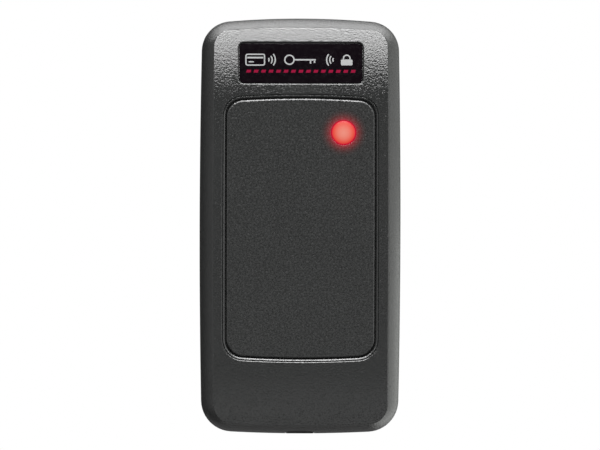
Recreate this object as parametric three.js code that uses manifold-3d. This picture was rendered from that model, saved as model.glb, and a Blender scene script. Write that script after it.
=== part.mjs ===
// Slim wall-mounted proximity card reader, about 83 x 40 x 14 mm.
// Frame: +Z up the wall, +X to the viewer's right, -Y out of the wall towards the viewer.
// Origin: centre of the back face that lies on the wall (y = 0 is the wall plane). Millimetres.
// A one-piece front cover hooks over two lugs at the top of a back plate and is held by one
// security screw at the bottom edge. The back plate carries a circuit board, a wound loop
// antenna on its former, a sounder, a status light and a rear tamper switch.
import * as THREE from "three";
import { mergeVertices } from "three/addons/utils/BufferGeometryUtils.js";
import Module from "manifold-3d";

// ---- driving dimensions --------------------------------------------------------------
// outline of the cover where it meets the wall
const BODY = { hw: 20.1, top: 41.5, bot: -41.5, rT: 6.0, rB: 6.3, sb: 0.5, eT: 1.2, eB: 0.75 };
// outline of the front face, inside the sloping flanks
const FACE = { hw: 17.48, top: 39.52, bot: -39.75, rT: 3.3, rB: 3.9, sb: 0.2, eT: 0.78, eB: 0.5 };
// cavity, at the rear rim and behind the front wall
const CAVR = { hw: 18.4, top: 39.45, bot: -39.45, rT: 4.5, rB: 4.8, sb: 0.45, eT: 0.9, eB: 0.7 };
const CAVF = { hw: 16.75, top: 38.4, bot: -38.5, rT: 3.0, rB: 3.2, sb: 0.2, eT: 0.6, eB: 0.5 };
const DEPTH = 14.0; // wall plane to the flat part of the front face
const RIM = 0.4; // the cover's rear rim stands this far off the wall
const FRONT_WALL = 1.5;
const ROLL_TOP = { z: 23.5, r: 40 }; // above z the face rolls back towards the wall
const ROLL_BOT = { z: -29, r: 60 };
// card panel and the opening it fills
const PANEL = { hw: 14.7, top: 25.46, bot: -26.3, rT: 3.3, rB: 3.4, sb: 0.05, eT: 0.62, eB: 0.6 };
const PANEL_GAP = 0.32;
const BEAD = 0.4; // rounded bead round the opening
const VEE = 0.22; // fine groove outside the bead
const FLANGE = { y0: -11.4, y1: -12.3, grow: 1.15, wide: 2.6 };
// status light
const LED = { x: 8.5, z: 18.58, lens: 2.4, hole: 2.5 };
// badge pocket in the rolled top of the face; its flat floor leans back by tilt, in radians,
// a little less than the face does there, so the plate sits deepest along its lower edge
const BADGE = { z: 32.56, w: 24.74, h: 8.1, r: 1.0, gap: 0.22, t: 0.6, pocket: 1.08, tilt: 0.2 };
// back plate and gasket
const BASE = { hw: 18.05, top: 39.0, bot: -39.0, rT: 4.2, rB: 4.5, sb: 0.45, eT: 0.85, eB: 0.7 };
const GASKET_T = 1.0;
const BASE_Y = [-1.0, -2.8];
const TRAY_H = 1.6;
const SCREW_HOLES = [{ x: 0, z: 33 }, { x: 0, z: -29 }]; // wall screw holes, 62 apart
const SCREW_HOLE_R = 2.15;
const OUTLET = { x: 0, z: 11.5, r: 3.2 }; // cable bore of the grommet
// hook pivot of the cover, used by the record's joint
export const PIVOT = { y: -1.6, z: 39.8 };
// cover screw
const CS = { y: -5.6, head_r: 2.75, shank_r: 1.45, seat: -38.85 };
// circuit board
const PCB = { hw: 15.2, top: 28.2, bot: -25.0, y0: -7.1, y1: -8.3 };
const POSTS = [[12.6, 25.9], [-12.6, 25.9], [12.6, -22.6], [-12.6, -22.6]];
// tamper switch
const TAMPER = { x: -9.5, z: -13 };
// sounder
const SOUNDER = { x: 0, z: -10.9, r: 6.2 };

const wasm = await Module();
wasm.setup();

// ---- helpers --------------------------------------------------------------------------
function solid(geometry) {
  const g = geometry.index ? geometry.toNonIndexed() : geometry;
  const bare = new THREE.BufferGeometry().setAttribute("position", g.getAttribute("position"));
  const m = mergeVertices(bare, 1e-4);
  const src = m.index.array, tri = [];
  for (let i = 0; i < src.length; i += 3)
    if (src[i] !== src[i + 1] && src[i + 1] !== src[i + 2] && src[i] !== src[i + 2])
      tri.push(src[i], src[i + 1], src[i + 2]);
  return new wasm.Manifold(new wasm.Mesh({
    numProp: 3,
    vertProperties: new Float32Array(m.attributes.position.array),
    triVerts: new Uint32Array(tri),
  }));
}
function box(x0, x1, y0, y1, z0, z1) {
  const g = new THREE.BoxGeometry(Math.abs(x1 - x0), Math.abs(y1 - y0), Math.abs(z1 - z0));
  g.translate((x0 + x1) / 2, (y0 + y1) / 2, (z0 + z1) / 2);
  return solid(g);
}
// a shape drawn in x and z, filling y from y0 (rear) to y1 (front)
function slab(shape, y0, y1, segments = 6) {
  const g = new THREE.ExtrudeGeometry(shape, { depth: y0 - y1, bevelEnabled: false, curveSegments: segments });
  g.rotateX(Math.PI / 2);
  g.translate(0, y0, 0);
  return solid(g);
}
function cylY(r, y0, y1, x, z, seg = 20) {
  const g = new THREE.CylinderGeometry(r, r, Math.abs(y1 - y0), seg);
  g.translate(x, (y0 + y1) / 2, z);
  return solid(g);
}
// cone-ended cylinder: radius ra at y0 and rb at y1 (y0 rear, y1 front)
function coneY(ra, rb, y0, y1, x, z, seg = 20) {
  const g = new THREE.CylinderGeometry(ra, rb, Math.abs(y1 - y0), seg);
  g.translate(x, (y0 + y1) / 2, z);
  return solid(g);
}
function cylZ(r, z0, z1, x, y, seg = 20) {
  const g = new THREE.CylinderGeometry(r, r, Math.abs(z1 - z0), seg);
  g.rotateX(Math.PI / 2);
  g.translate(x, y, (z0 + z1) / 2);
  return solid(g);
}
// a revolved piece; profile is [radius, y] from the axis round to the axis, or closed on itself
function lathe(profile, x, z, seg = 24) {
  const g = new THREE.LatheGeometry(profile.map(([r, y]) => new THREE.Vector2(r, y)), seg);
  g.translate(x, 0, z);
  const s = solid(g);
  return s.volume() < 0 ? solid(flip(g)) : s;
}
function flip(g) {
  const n = g.toNonIndexed(), p = n.attributes.position.array;
  for (let i = 0; i < p.length; i += 9)
    for (let k = 0; k < 3; k++) [p[i + 3 + k], p[i + 6 + k]] = [p[i + 6 + k], p[i + 3 + k]];
  return n;
}
function roundRect(w, h, r, x = 0, z = 0) {
  const s = new THREE.Shape(), a = w / 2, b = h / 2;
  s.moveTo(x - a + r, z - b);
  s.lineTo(x + a - r, z - b);
  s.absarc(x + a - r, z - b + r, r, -Math.PI / 2, 0);
  s.lineTo(x + a, z + b - r);
  s.absarc(x + a - r, z + b - r, r, 0, Math.PI / 2);
  s.lineTo(x - a + r, z + b);
  s.absarc(x - a + r, z + b - r, r, Math.PI / 2, Math.PI);
  s.lineTo(x - a, z - b + r);
  s.absarc(x - a + r, z - b + r, r, Math.PI, 1.5 * Math.PI);
  return s;
}
// bowed rectangle with rounded corners: slightly barrelled sides and ends, as [x, z] points
// from bottom centre round by the right, anticlockwise seen from the front
function meet(c0, r0, c1, r1, up) {
  const dx = c1[0] - c0[0], dz = c1[1] - c0[1], d = Math.hypot(dx, dz);
  const a = (r0 * r0 - r1 * r1 + d * d) / (2 * d), h = Math.sqrt(r0 * r0 - a * a);
  const ex = dx / d, ez = dz / d, px = c0[0] + a * ex, pz = c0[1] + a * ez;
  const both = [[px - h * ez, pz + h * ex], [px + h * ez, pz - h * ex]];
  return both.sort((p, q) => q[0] + up * q[1] - (p[0] + up * p[1]))[0];
}
const STATIONS = [0, 0.085, 0.2, 0.5, 0.836, 0.875, 0.915, 0.957]; // along a side, closer where the face rolls
function bowed(o, n = [3, 6, STATIONS]) {
  const { hw, top, bot, rT, rB, sb, eT, eB } = o;
  const H = (top - bot) / 2, zc = (top + bot) / 2;
  const Rs = (H * H + sb * sb) / (2 * sb), Cs = [hw - Rs, zc];
  const RT = (hw * hw + eT * eT) / (2 * eT), CT = [0, top - RT];
  const RB = (hw * hw + eB * eB) / (2 * eB), CB = [0, bot + RB];
  const cT = meet(Cs, Rs - rT, CT, RT - rT, 10), cB = meet(Cs, Rs - rB, CB, RB - rB, -10);
  const tan = (C, R, c) => {
    const d = Math.hypot(c[0] - C[0], c[1] - C[1]);
    return [C[0] + ((c[0] - C[0]) / d) * R, C[1] + ((c[1] - C[1]) / d) * R];
  };
  const arc = (C, R, p, q, k) => {
    const a0 = Math.atan2(p[1] - C[1], p[0] - C[0]);
    let a1 = Math.atan2(q[1] - C[1], q[0] - C[0]);
    if (a1 - a0 > Math.PI) a1 -= 2 * Math.PI;
    if (a1 - a0 < -Math.PI) a1 += 2 * Math.PI;
    const shares = Array.isArray(k) ? k : Array.from({ length: k }, (_, i) => i / k);
    return shares.map((s) => {
      const a = a0 + (a1 - a0) * s;
      return [C[0] + R * Math.cos(a), C[1] + R * Math.sin(a)];
    });
  };
  const tB = tan(CB, RB, cB), sB = tan(Cs, Rs, cB), sT = tan(Cs, Rs, cT), tT = tan(CT, RT, cT);
  const right = [
    ...arc(CB, RB, [0, bot], tB, n[0]), ...arc(cB, rB, tB, sB, n[1]),
    ...arc(Cs, Rs, sB, sT, n[2]), ...arc(cT, rT, sT, tT, n[1]),
    ...arc(CT, RT, tT, [0, top], n[0]), [0, top],
  ];
  right[0] = [0, bot];
  const left = right.slice(1, -1).reverse().map(([x, z]) => [-x, z]);
  return [...right, ...left];
}
const grow = (o, d) => ({
  ...o, hw: o.hw + d, top: o.top + d, bot: o.bot - d, rT: o.rT + d, rB: o.rB + d,
});
const shapeOf = (points) => new THREE.Shape(points.map(([x, z]) => new THREE.Vector2(x, z)));
const bowedSlab = (o, y0, y1, n) => slab(shapeOf(bowed(o, n)), y0, y1);
// depth of the front face at height z
function depthAt(z) {
  if (z > ROLL_TOP.z) return DEPTH - (z - ROLL_TOP.z) ** 2 / (2 * ROLL_TOP.r);
  if (z < ROLL_BOT.z) return DEPTH - (z - ROLL_BOT.z) ** 2 / (2 * ROLL_BOT.r);
  return DEPTH;
}
// the flank slopes in gently near the wall and faster towards the face
const inset = (u) => 0.16 * u + 0.84 * Math.pow(u, 2.4);
// a closed body lofted from a rear outline to a front outline, with the rolled face in front
function loft(rear, front, yRear, depth, shares, n) {
  const A = bowed(rear, n), F = bowed(front, n), N = A.length;
  const rings = shares.map(([u, f]) => A.map((a, i) => {
    const z1 = F[i][1], y = -(yRear + (depth(z1) - yRear) * u);
    return [a[0] + (F[i][0] - a[0]) * f, y, a[1] + (z1 - a[1]) * f];
  }));
  const pos = [];
  const tri = (a, b, c) => pos.push(...a, ...b, ...c);
  for (let r = 0; r + 1 < rings.length; r++)
    for (let i = 0; i < N; i++) {
      const j = (i + 1) % N, p = rings[r], q = rings[r + 1];
      tri(p[i], p[j], q[j]);
      tri(p[i], q[j], q[i]);
    }
  const cap = (ring, out) => {
    for (let k = 0; k < N / 2; k++) {
      const R0 = ring[k], R1 = ring[k + 1], L0 = ring[(N - k) % N], L1 = ring[N - k - 1];
      const add = out ? tri : (a, b, c) => tri(a, c, b);
      if (k + 1 < N / 2) add(R0, R1, L1);
      if (k > 0) add(R0, L1, L0);
      if (k + 1 === N / 2) { /* top point shared: one triangle is enough */ }
    }
  };
  cap(rings[rings.length - 1], true);
  cap(rings[0], false);
  return solid(new THREE.BufferGeometry().setAttribute("position", new THREE.Float32BufferAttribute(pos, 3)));
}

const group = new THREE.Group();
function add(name, manifold, color, roughness, metalness = 0, extra = {}) {
  const m = manifold.getMesh(), n = m.numProp, v = new Float32Array(m.numVert * 3);
  for (let i = 0; i < m.numVert; i++) v.set(m.vertProperties.subarray(i * n, i * n + 3), i * 3);
  const g = new THREE.BufferGeometry();
  g.setAttribute("position", new THREE.BufferAttribute(v, 3));
  g.setIndex(new THREE.BufferAttribute(new Uint32Array(m.triVerts), 1));
  g.computeVertexNormals();
  const mesh = new THREE.Mesh(g, new THREE.MeshStandardMaterial({ color, roughness, metalness, ...extra }));
  mesh.name = name;
  group.add(mesh);
}

const BLACK = 0x2b2c2c, BLACK_IN = 0x262727;

// ---- front cover ----------------------------------------------------------------------
const SHARES = [0, 0.3, 0.55, 0.75, 0.9, 1].map((u) => [u, inset(u)]);
let cover = loft(BODY, FACE, RIM, depthAt, SHARES, [3, 6, STATIONS]);
const cavity = loft(CAVR, CAVF, -1, (z) => depthAt(z) - FRONT_WALL,
  [[0, 0], [0.5, 0.12], [0.8, 0.5], [1, 1]], [3, 5, STATIONS]);
cover = cover.subtract(cavity);
// bottom block that the security screw clamps
cover = cover.add(box(-4.6, 4.6, -0.8, -10.2, -40.6, -37.7));
// local wall behind the badge pocket and round the screw block
const badgeY = -depthAt(BADGE.z);
function tilted(manifoldGeo) {
  manifoldGeo.rotateX(-BADGE.tilt);
  manifoldGeo.translate(0, badgeY, BADGE.z);
  return solid(manifoldGeo);
}
function badgeSlab(w, h, r, back, front) {
  const g = new THREE.ExtrudeGeometry(roundRect(w, h, r), { depth: front - back, bevelEnabled: false, curveSegments: 4 });
  g.rotateX(Math.PI / 2); // shape now in x and z, extruded towards -y
  g.translate(0, -back, 0);
  return tilted(g);
}
cover = cover.add(badgeSlab(28.4, 10.2, 2, -2.4, -1.3));
cover = cover.subtract(badgeSlab(BADGE.w + 2 * BADGE.gap, BADGE.h + 2 * BADGE.gap, BADGE.r + BADGE.gap, -BADGE.pocket, 1.5));
// opening for the card panel, with a bead and a fine groove round it
const OPENING = grow(PANEL, PANEL_GAP);
cover = cover.subtract(bowedSlab(OPENING, -9, -16, [2, 4, 4]));
const vee = bowedSlab(grow(OPENING, BEAD + VEE), -DEPTH + 0.22, -16, [2, 4, 4])
  .subtract(bowedSlab(grow(OPENING, BEAD), -9, -17, [2, 4, 4]));
cover = cover.subtract(vee);
// hook pockets in the top wall for the lugs of the back plate
for (const x of [-9.5, 9.5]) cover = cover.subtract(box(x - 3, x + 3, -1.4, -4.6, 38.6, 40.4));
// U-shaped seat, open to the wall, for the head and the shank of the security screw
cover = cover.subtract(box(-3.05, 3.05, 1, CS.y, -45, CS.seat).add(cylZ(3.05, -45, CS.seat, 0, CS.y, 24)));
cover = cover.subtract(box(-1.75, 1.75, 1, CS.y, -40, -37).add(cylZ(1.75, -40, -37, 0, CS.y, 16)));
// two stiffening ribs across the inside of the lower face
for (const z of [-31.2, -35.2]) {
  const yIn = -(depthAt(z) - FRONT_WALL) + 0.02;
  cover = cover.add(box(-14, -6.4, yIn + 1.2, yIn - 0.5, z - 0.45, z + 0.45));
  cover = cover.add(box(6.4, 14, yIn + 1.2, yIn - 0.5, z - 0.45, z + 0.45));
}
add("front_cover", cover, BLACK, 0.55);

// ---- card panel -----------------------------------------------------------------------
let panel = bowedSlab(PANEL, -12.28, -DEPTH + 0.18, [2, 5, 4]);
panel = panel.add(bowedSlab(grow(PANEL, -0.18), -12.28, -DEPTH, [2, 5, 4]));
const flangeOut = bowedSlab(grow(PANEL, FLANGE.grow), FLANGE.y0, FLANGE.y1, [2, 5, 4]);
const flangeIn = bowedSlab(grow(PANEL, -FLANGE.wide), FLANGE.y0 + 1, FLANGE.y1 - 0.2, [2, 5, 4]);
panel = panel.add(flangeOut.subtract(flangeIn));
panel = panel.subtract(cylY(LED.hole, -9, -16, LED.x, LED.z, 22));
add("card_panel", panel, BLACK, 0.5);

// ---- badge plate ----------------------------------------------------------------------
add("badge_plate", badgeSlab(BADGE.w, BADGE.h, BADGE.r, -BADGE.pocket + 0.3, -BADGE.pocket + 0.3 + BADGE.t - 0.15), 0x0e0b10, 0.2);

// ---- light-pipe lens ------------------------------------------------------------------
add("led_lens", lathe([
  [0, -11.2], [2.1, -11.2], [2.1, -11.55], [3.0, -11.55], [3.0, -12.2], [LED.lens, -12.2],
  [LED.lens, -13.95], [2.2, -14.2], [1.6, -14.4], [0.8, -14.5], [0, -14.52],
], LED.x, LED.z, 22), 0xff4030, 0.25, 0, { emissive: 0xff2010 });

// ---- back plate and wall gasket ---------------------------------------------------------
let base = bowedSlab(BASE, BASE_Y[0], BASE_Y[1], [3, 5, 10]);
const tray = bowedSlab(BASE, BASE_Y[1] + 0.05, BASE_Y[1] - TRAY_H, [3, 5, 10])
  .subtract(bowedSlab(grow(BASE, -1.2), -1, -6, [3, 5, 10]));
base = base.add(tray);
for (const x of [-9.5, 9.5]) base = base.add(box(x - 2.5, x + 2.5, -1.8, -3.0, 37.5, 40.15));
// boss for the threaded insert of the security screw
base = base.subtract(box(-5.3, 5.3, 1, -12, -42, -37.1));
base = base.add(box(-3.7, 3.7, -2.7, -9.2, -37.0, -33.0));
base = base.subtract(cylZ(2.45, -38, -33.1, 0, CS.y, 20));
// tongue that closes the cover's screw slot behind the screw head
base = base.add(box(-1.5, 1.5, -1.0, -2.6, -39.4, -36.8));
base = base.add(box(-2.85, 2.85, -0.6, -2.6, -41.45, -39.1));
// moulded ribs on the inside of the plate
for (const z of [POSTS[0][1], POSTS[2][1]]) base = base.add(box(-16.3, 16.3, -2.7, -3.7, z - 0.5, z + 0.5));
// posts for the circuit board
for (const [x, z] of POSTS) base = base.add(cylY(2.2, -2.7, PCB.y0, x, z, 16));
for (const [x, z] of POSTS) base = base.subtract(cylY(1.05, -3.2, -8, x, z, 12));
// wall screw holes with seats, cable outlet, tamper plunger hole
for (const { x, z } of SCREW_HOLES) {
  base = base.subtract(cylY(SCREW_HOLE_R, 1, -4, x, z, 20));
  base = base.subtract(coneY(SCREW_HOLE_R, 3.9, -1.9, -3.0, x, z, 20));
}
base = base.subtract(cylY(4.75, 1, -4, OUTLET.x, OUTLET.z, 22));
base = base.subtract(cylY(1.4, 1, -4, TAMPER.x, TAMPER.z, 16));
add("back_plate", base, BLACK_IN, 0.6);

const GASKET = { hw: 17.4, top: 38.2, bot: -38.2, rT: 3.8, rB: 4.0, sb: 0.4, eT: 0.8, eB: 0.65 };
let gasket = bowedSlab(GASKET, 0, -0.95, [3, 5, 8]);
gasket = gasket.subtract(box(-5.3, 5.3, 1, -3, -42, -37.1));
for (const { x, z } of SCREW_HOLES) gasket = gasket.subtract(cylY(3.2, 1, -3, x, z, 20));
gasket = gasket.subtract(cylY(6.2, 1, -3, OUTLET.x, OUTLET.z, 22));
gasket = gasket.subtract(cylY(2.2, 1, -3, TAMPER.x, TAMPER.z, 16));
add("wall_gasket", gasket, 0x3a3a3a, 0.95);

// ---- cable grommet: a grooved rubber ring snapped into the outlet -----------------------
add("cable_grommet", lathe([
  [OUTLET.r, -0.25], [5.4, -0.25], [5.7, -0.5], [5.7, -0.9], [4.6, -0.9], [4.6, -2.9], [5.5, -2.9],
  [5.5, -3.4], [5.0, -3.9], [OUTLET.r, -3.9], [OUTLET.r, -0.25],
], OUTLET.x, OUTLET.z, 22), 0x1c1c1c, 0.9);

// ---- threaded insert, security screw and its washer --------------------------------------
add("threaded_insert", cylZ(2.3, -37.0, -33.4, 0, CS.y, 20).subtract(cylZ(1.6, -38, -33, 0, CS.y, 20)), 0xb8913c, 0.35, 1);
const screw = new THREE.LatheGeometry([
  [0, -33.6], [1.1, -33.6], [CS.shank_r, -34.0], [CS.shank_r, -39.35], [2.55, -39.35], [CS.head_r, -39.55],
  [CS.head_r, -40.0], [2.4, -40.45], [1.6, -40.65], [0, -40.7],
].map(([r, z]) => new THREE.Vector2(r, z)), 24);
screw.rotateX(Math.PI / 2); // lathe axis y becomes z
screw.translate(0, CS.y, 0);
let screwSolid = solid(screw);
if (screwSolid.volume() < 0) screwSolid = solid(flip(screw));
// six-lobe drive recess with a centre pin
const lobes = new THREE.Shape();
for (let i = 0; i < 24; i++) {
  const a = (i / 24) * 2 * Math.PI, r = 1.05 + 0.2 * Math.cos(6 * a);
  if (i) lobes.lineTo(r * Math.cos(a), r * Math.sin(a));
  else lobes.moveTo(r * Math.cos(a), r * Math.sin(a));
}
lobes.closePath();
const drive = new THREE.ExtrudeGeometry(lobes, { depth: 1.3, bevelEnabled: false });
drive.translate(0, CS.y, -41.0);
screwSolid = screwSolid.subtract(solid(drive)).add(cylZ(0.35, -40.6, -39.6, 0, CS.y, 8));
add("cover_screw", screwSolid, 0x9a9a98, 0.3, 1);
add("screw_washer", cylZ(2.7, -39.3, -38.95, 0, CS.y, 24).subtract(cylZ(1.6, -40, -38, 0, CS.y, 20)), 0xd8d6cc, 0.5);

// ---- circuit board ----------------------------------------------------------------------
const cz = (PCB.top + PCB.bot) / 2;
let pcb = slab(roundRect(2 * PCB.hw, PCB.top - PCB.bot, 1.2, 0, cz), PCB.y0 - 0.05, PCB.y1, 3);
for (const [x, z] of POSTS) pcb = pcb.subtract(cylY(1.15, -6, -9, x, z, 12));
add("circuit_board", pcb, 0x14502c, 0.45);
for (const [i, [x, z]] of POSTS.entries()) {
  add(`board_screw_${i + 1}`, lathe([
    [0, -3.6], [0.5, -3.6], [0.95, -4.2], [0.95, -8.35], [1.9, -8.35], [1.9, -9.1], [1.5, -9.6], [0, -9.75],
  ], x, z, 14).subtract(box(x - 1.2, x + 1.2, -9.3, -10, z - 0.2, z + 0.2)).subtract(box(x - 0.2, x + 0.2, -9.3, -10, z - 1.2, z + 1.2)),
  0xb0b0aa, 0.3, 1);
}

// ---- loop antenna and its former ----------------------------------------------------------
const FORMER = { w: 27.8, zt: 23.6, zb: -20.2, r: 3.4, wide: 2.6 };
const fz = (FORMER.zt + FORMER.zb) / 2, fh = FORMER.zt - FORMER.zb;
const ring = (inward, y0, y1, inner) =>
  slab(roundRect(FORMER.w - 2 * inward, fh - 2 * inward, FORMER.r - inward, 0, fz), y0, y1, 4)
    .subtract(slab(roundRect(FORMER.w - 2 * inner, fh - 2 * inner, FORMER.r - inner, 0, fz), 0, -16, 4));
let former = ring(0, -8.4, -8.8, FORMER.wide).add(ring(1.75, -8.7, -10.6, FORMER.wide)).add(ring(0, -10.5, -10.9, FORMER.wide));
add("coil_former", former, 0xe6e2d6, 0.6);
add("antenna_coil", ring(0.35, -8.9, -10.4, 1.65), 0xa4541e, 0.35, 0.8);

// ---- parts on the front of the board --------------------------------------------------------
const chip = (x, z, w, h, t, r = 0.3) => slab(roundRect(w, h, r, x, z), PCB.y1 - 0.12, PCB.y1 - 0.12 - t, 2);
add("status_led", chip(LED.x, LED.z, 3.4, 2.8, 1.7, 0.2).subtract(cylY(1.15, -9.5, -12, LED.x, LED.z, 16)), 0xf2f0e8, 0.4);
add("microcontroller", chip(3.6, 3.2, 7, 7, 1.2), 0x161616, 0.6);
add("rf_front_end", chip(-5, 11.5, 3.9, 9.9, 1.5), 0x181818, 0.6);
add("quartz_crystal", chip(-5, 3.2, 4.6, 5.4, 2.6, 1.6), 0xc9c9c6, 0.25, 1);
add("voltage_regulator", chip(-6.6, -3.4, 6.4, 3.4, 1.6), 0x171717, 0.6);
add("power_inductor", chip(4.2, 11.6, 5, 5, 2.2, 0.9), 0x33302c, 0.7);
add("tuning_capacitor", chip(8.2, -4.8, 4.6, 3.2, 2.4, 0.2), 0x9c3b28, 0.5);
add("surge_suppressor", chip(-9.2, 17.4, 3.4, 4.4, 2.0, 0.2), 0x1a1a1a, 0.55);
// sounder: ported case with its piezo disc inside
add("sounder_case", cylY(SOUNDER.r, -8.45, -11.6, SOUNDER.x, SOUNDER.z, 28)
  .subtract(cylY(SOUNDER.r - 0.7, -8.0, -10.9, SOUNDER.x, SOUNDER.z, 28))
  .subtract(cylY(1.0, -10, -13, SOUNDER.x, SOUNDER.z, 12)), 0x1b1b1b, 0.5);
add("sounder_disc", cylY(SOUNDER.r - 0.9, -9.4, -9.75, SOUNDER.x, SOUNDER.z, 24), 0xc9a24a, 0.35, 1);

// ---- parts on the rear of the board -----------------------------------------------------------
let header = box(-6.4, 6.4, -3.1, -7.1, 18.2, 23.6);
header = header.subtract(box(-5.8, 5.8, -2.5, -6.1, 17.0, 22.8));
add("cable_header", header, 0xeeeae0, 0.5);
for (let i = 0; i < 5; i++) add(`header_pin_${i + 1}`, box(-5 + i * 2.5 - 0.32, -5 + i * 2.5 + 0.32, -4.35, -4.99, 18.6, 22.75), 0xcfcaa8, 0.25, 1);
const can = new THREE.CylinderGeometry(1.95, 1.95, 7.4, 20);
can.rotateX(Math.PI / 2);
can.translate(10.6, -5.1, -7);
add("electrolytic_capacitor", solid(can), 0x2a3350, 0.4);
let tamper = box(TAMPER.x - 3.1, TAMPER.x + 3.1, -3.05, -7.1, TAMPER.z - 3.1, TAMPER.z + 3.1);
tamper = tamper.subtract(cylY(1.95, -2, -6.5, TAMPER.x, TAMPER.z, 20));
add("tamper_switch_body", tamper, 0x202020, 0.5);
add("tamper_plunger", lathe([
  [0, -0.15], [0.95, -0.15], [1.2, -0.4], [1.2, -4.35], [1.8, -4.35], [1.8, -4.85], [0, -4.85],
], TAMPER.x, TAMPER.z, 20), 0xd9cfae, 0.45);
// return spring: a closed helical wire under the plunger's flange
class Helix extends THREE.Curve {
  getPoint(t, target = new THREE.Vector3()) {
    const a = t * 2 * Math.PI * 3.5;
    return target.set(1.35 * Math.cos(a), -5.08 - 1.22 * t, 1.35 * Math.sin(a));
  }
}
const wire = new THREE.Shape();
for (let i = 0; i < 5; i++) {
  const a = (i / 5) * 2 * Math.PI, x = 0.13 * Math.cos(a), y = 0.13 * Math.sin(a);
  if (i) wire.lineTo(x, y);
  else wire.moveTo(x, y);
}
wire.closePath();
const spring = new THREE.ExtrudeGeometry(wire, { steps: 35, extrudePath: new Helix(), bevelEnabled: false });
spring.translate(TAMPER.x, 0, TAMPER.z);
let springSolid = solid(spring);
if (springSolid.volume() < 0) springSolid = solid(flip(spring));
add("tamper_spring", springSolid, 0xb4b4b0, 0.3, 1);

export default group;
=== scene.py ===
"""Slim proximity card reader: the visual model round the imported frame. Lengths below are in millimetres and become metres in the mesh."""
import math

import bmesh
import bpy
import numpy as np
from mathutils import Matrix, Vector
from mathutils.geometry import delaunay_2d_cdt


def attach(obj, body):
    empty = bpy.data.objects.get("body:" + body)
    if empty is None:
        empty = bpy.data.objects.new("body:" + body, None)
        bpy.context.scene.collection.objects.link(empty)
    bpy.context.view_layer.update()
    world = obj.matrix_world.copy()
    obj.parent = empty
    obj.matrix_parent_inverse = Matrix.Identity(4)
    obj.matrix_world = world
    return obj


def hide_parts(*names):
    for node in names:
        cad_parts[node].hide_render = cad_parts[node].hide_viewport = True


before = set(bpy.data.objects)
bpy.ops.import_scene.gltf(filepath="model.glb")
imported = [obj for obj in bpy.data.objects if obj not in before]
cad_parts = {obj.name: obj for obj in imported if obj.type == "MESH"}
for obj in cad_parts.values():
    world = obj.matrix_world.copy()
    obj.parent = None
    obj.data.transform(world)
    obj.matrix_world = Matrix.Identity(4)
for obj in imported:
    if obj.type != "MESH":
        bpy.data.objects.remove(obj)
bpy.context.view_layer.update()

MM = 0.001
SCENE = bpy.context.scene
COLL = SCENE.collection

# ------------------------------------------------------------------ dimensions, mm
BODY = dict(hw=20.1, top=41.5, bot=-41.48, rT=6.0, rB=6.3, sb=0.5, eT=1.2, eB=0.75)
FACE = dict(hw=17.48, top=39.52, bot=-39.75, rT=3.3, rB=3.9, sb=0.2, eT=0.78, eB=0.5)
CAVR = dict(hw=18.4, top=39.45, bot=-39.45, rT=4.5, rB=4.8, sb=0.45, eT=0.9, eB=0.7)
CAVF = dict(hw=16.75, top=38.4, bot=-38.5, rT=3.0, rB=3.2, sb=0.2, eT=0.6, eB=0.5)
PANEL = dict(hw=14.80, top=25.40, bot=-26.27, rT=3.3, rB=3.4, sb=0.05, eT=0.62, eB=0.6)
DEPTH, RIM, WALL = 14.0, 0.4, 1.5
ROLL_T, ROLL_TR = 23.5, 40.0
ROLL_B, ROLL_BR = -29.0, 60.0
BADGE_Z, BADGE_W, BADGE_H, BADGE_R, BADGE_TILT = 32.46, 24.42, 7.93, 0.9, 0.2
LED_X, LED_Z = 8.5, 18.58
SCREW_Y = -5.6


def depth(z):
    z = np.asarray(z, float)
    d = np.full_like(z, DEPTH)
    d = np.where(z > ROLL_T, DEPTH - (z - ROLL_T) ** 2 / (2 * ROLL_TR), d)
    return np.where(z < ROLL_B, DEPTH - (z - ROLL_B) ** 2 / (2 * ROLL_BR), d)


# the flat floor of the badge pocket: x along the face, w up it, h out of it
BC = np.array([0, -float(depth(BADGE_Z)), BADGE_Z])
BW = np.array([0, math.sin(BADGE_TILT), math.cos(BADGE_TILT)])
BN = np.array([0, -math.cos(BADGE_TILT), math.sin(BADGE_TILT)])


def on_badge(xw, h):
    xw = np.asarray(xw, float)
    return BC + xw[:, :1] * np.array([1.0, 0, 0]) + xw[:, 1:2] * BW + h * BN


# ------------------------------------------------------------------ outlines
def _meet(c0, r0, c1, r1, up):
    d = np.linalg.norm(c1 - c0)
    a = (r0 * r0 - r1 * r1 + d * d) / (2 * d)
    h = math.sqrt(r0 * r0 - a * a)
    e = (c1 - c0) / d
    p, n = c0 + a * e, np.array([-e[1], e[0]])
    return max((p + h * n, p - h * n), key=lambda q: q[0] + up * q[1])


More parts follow.
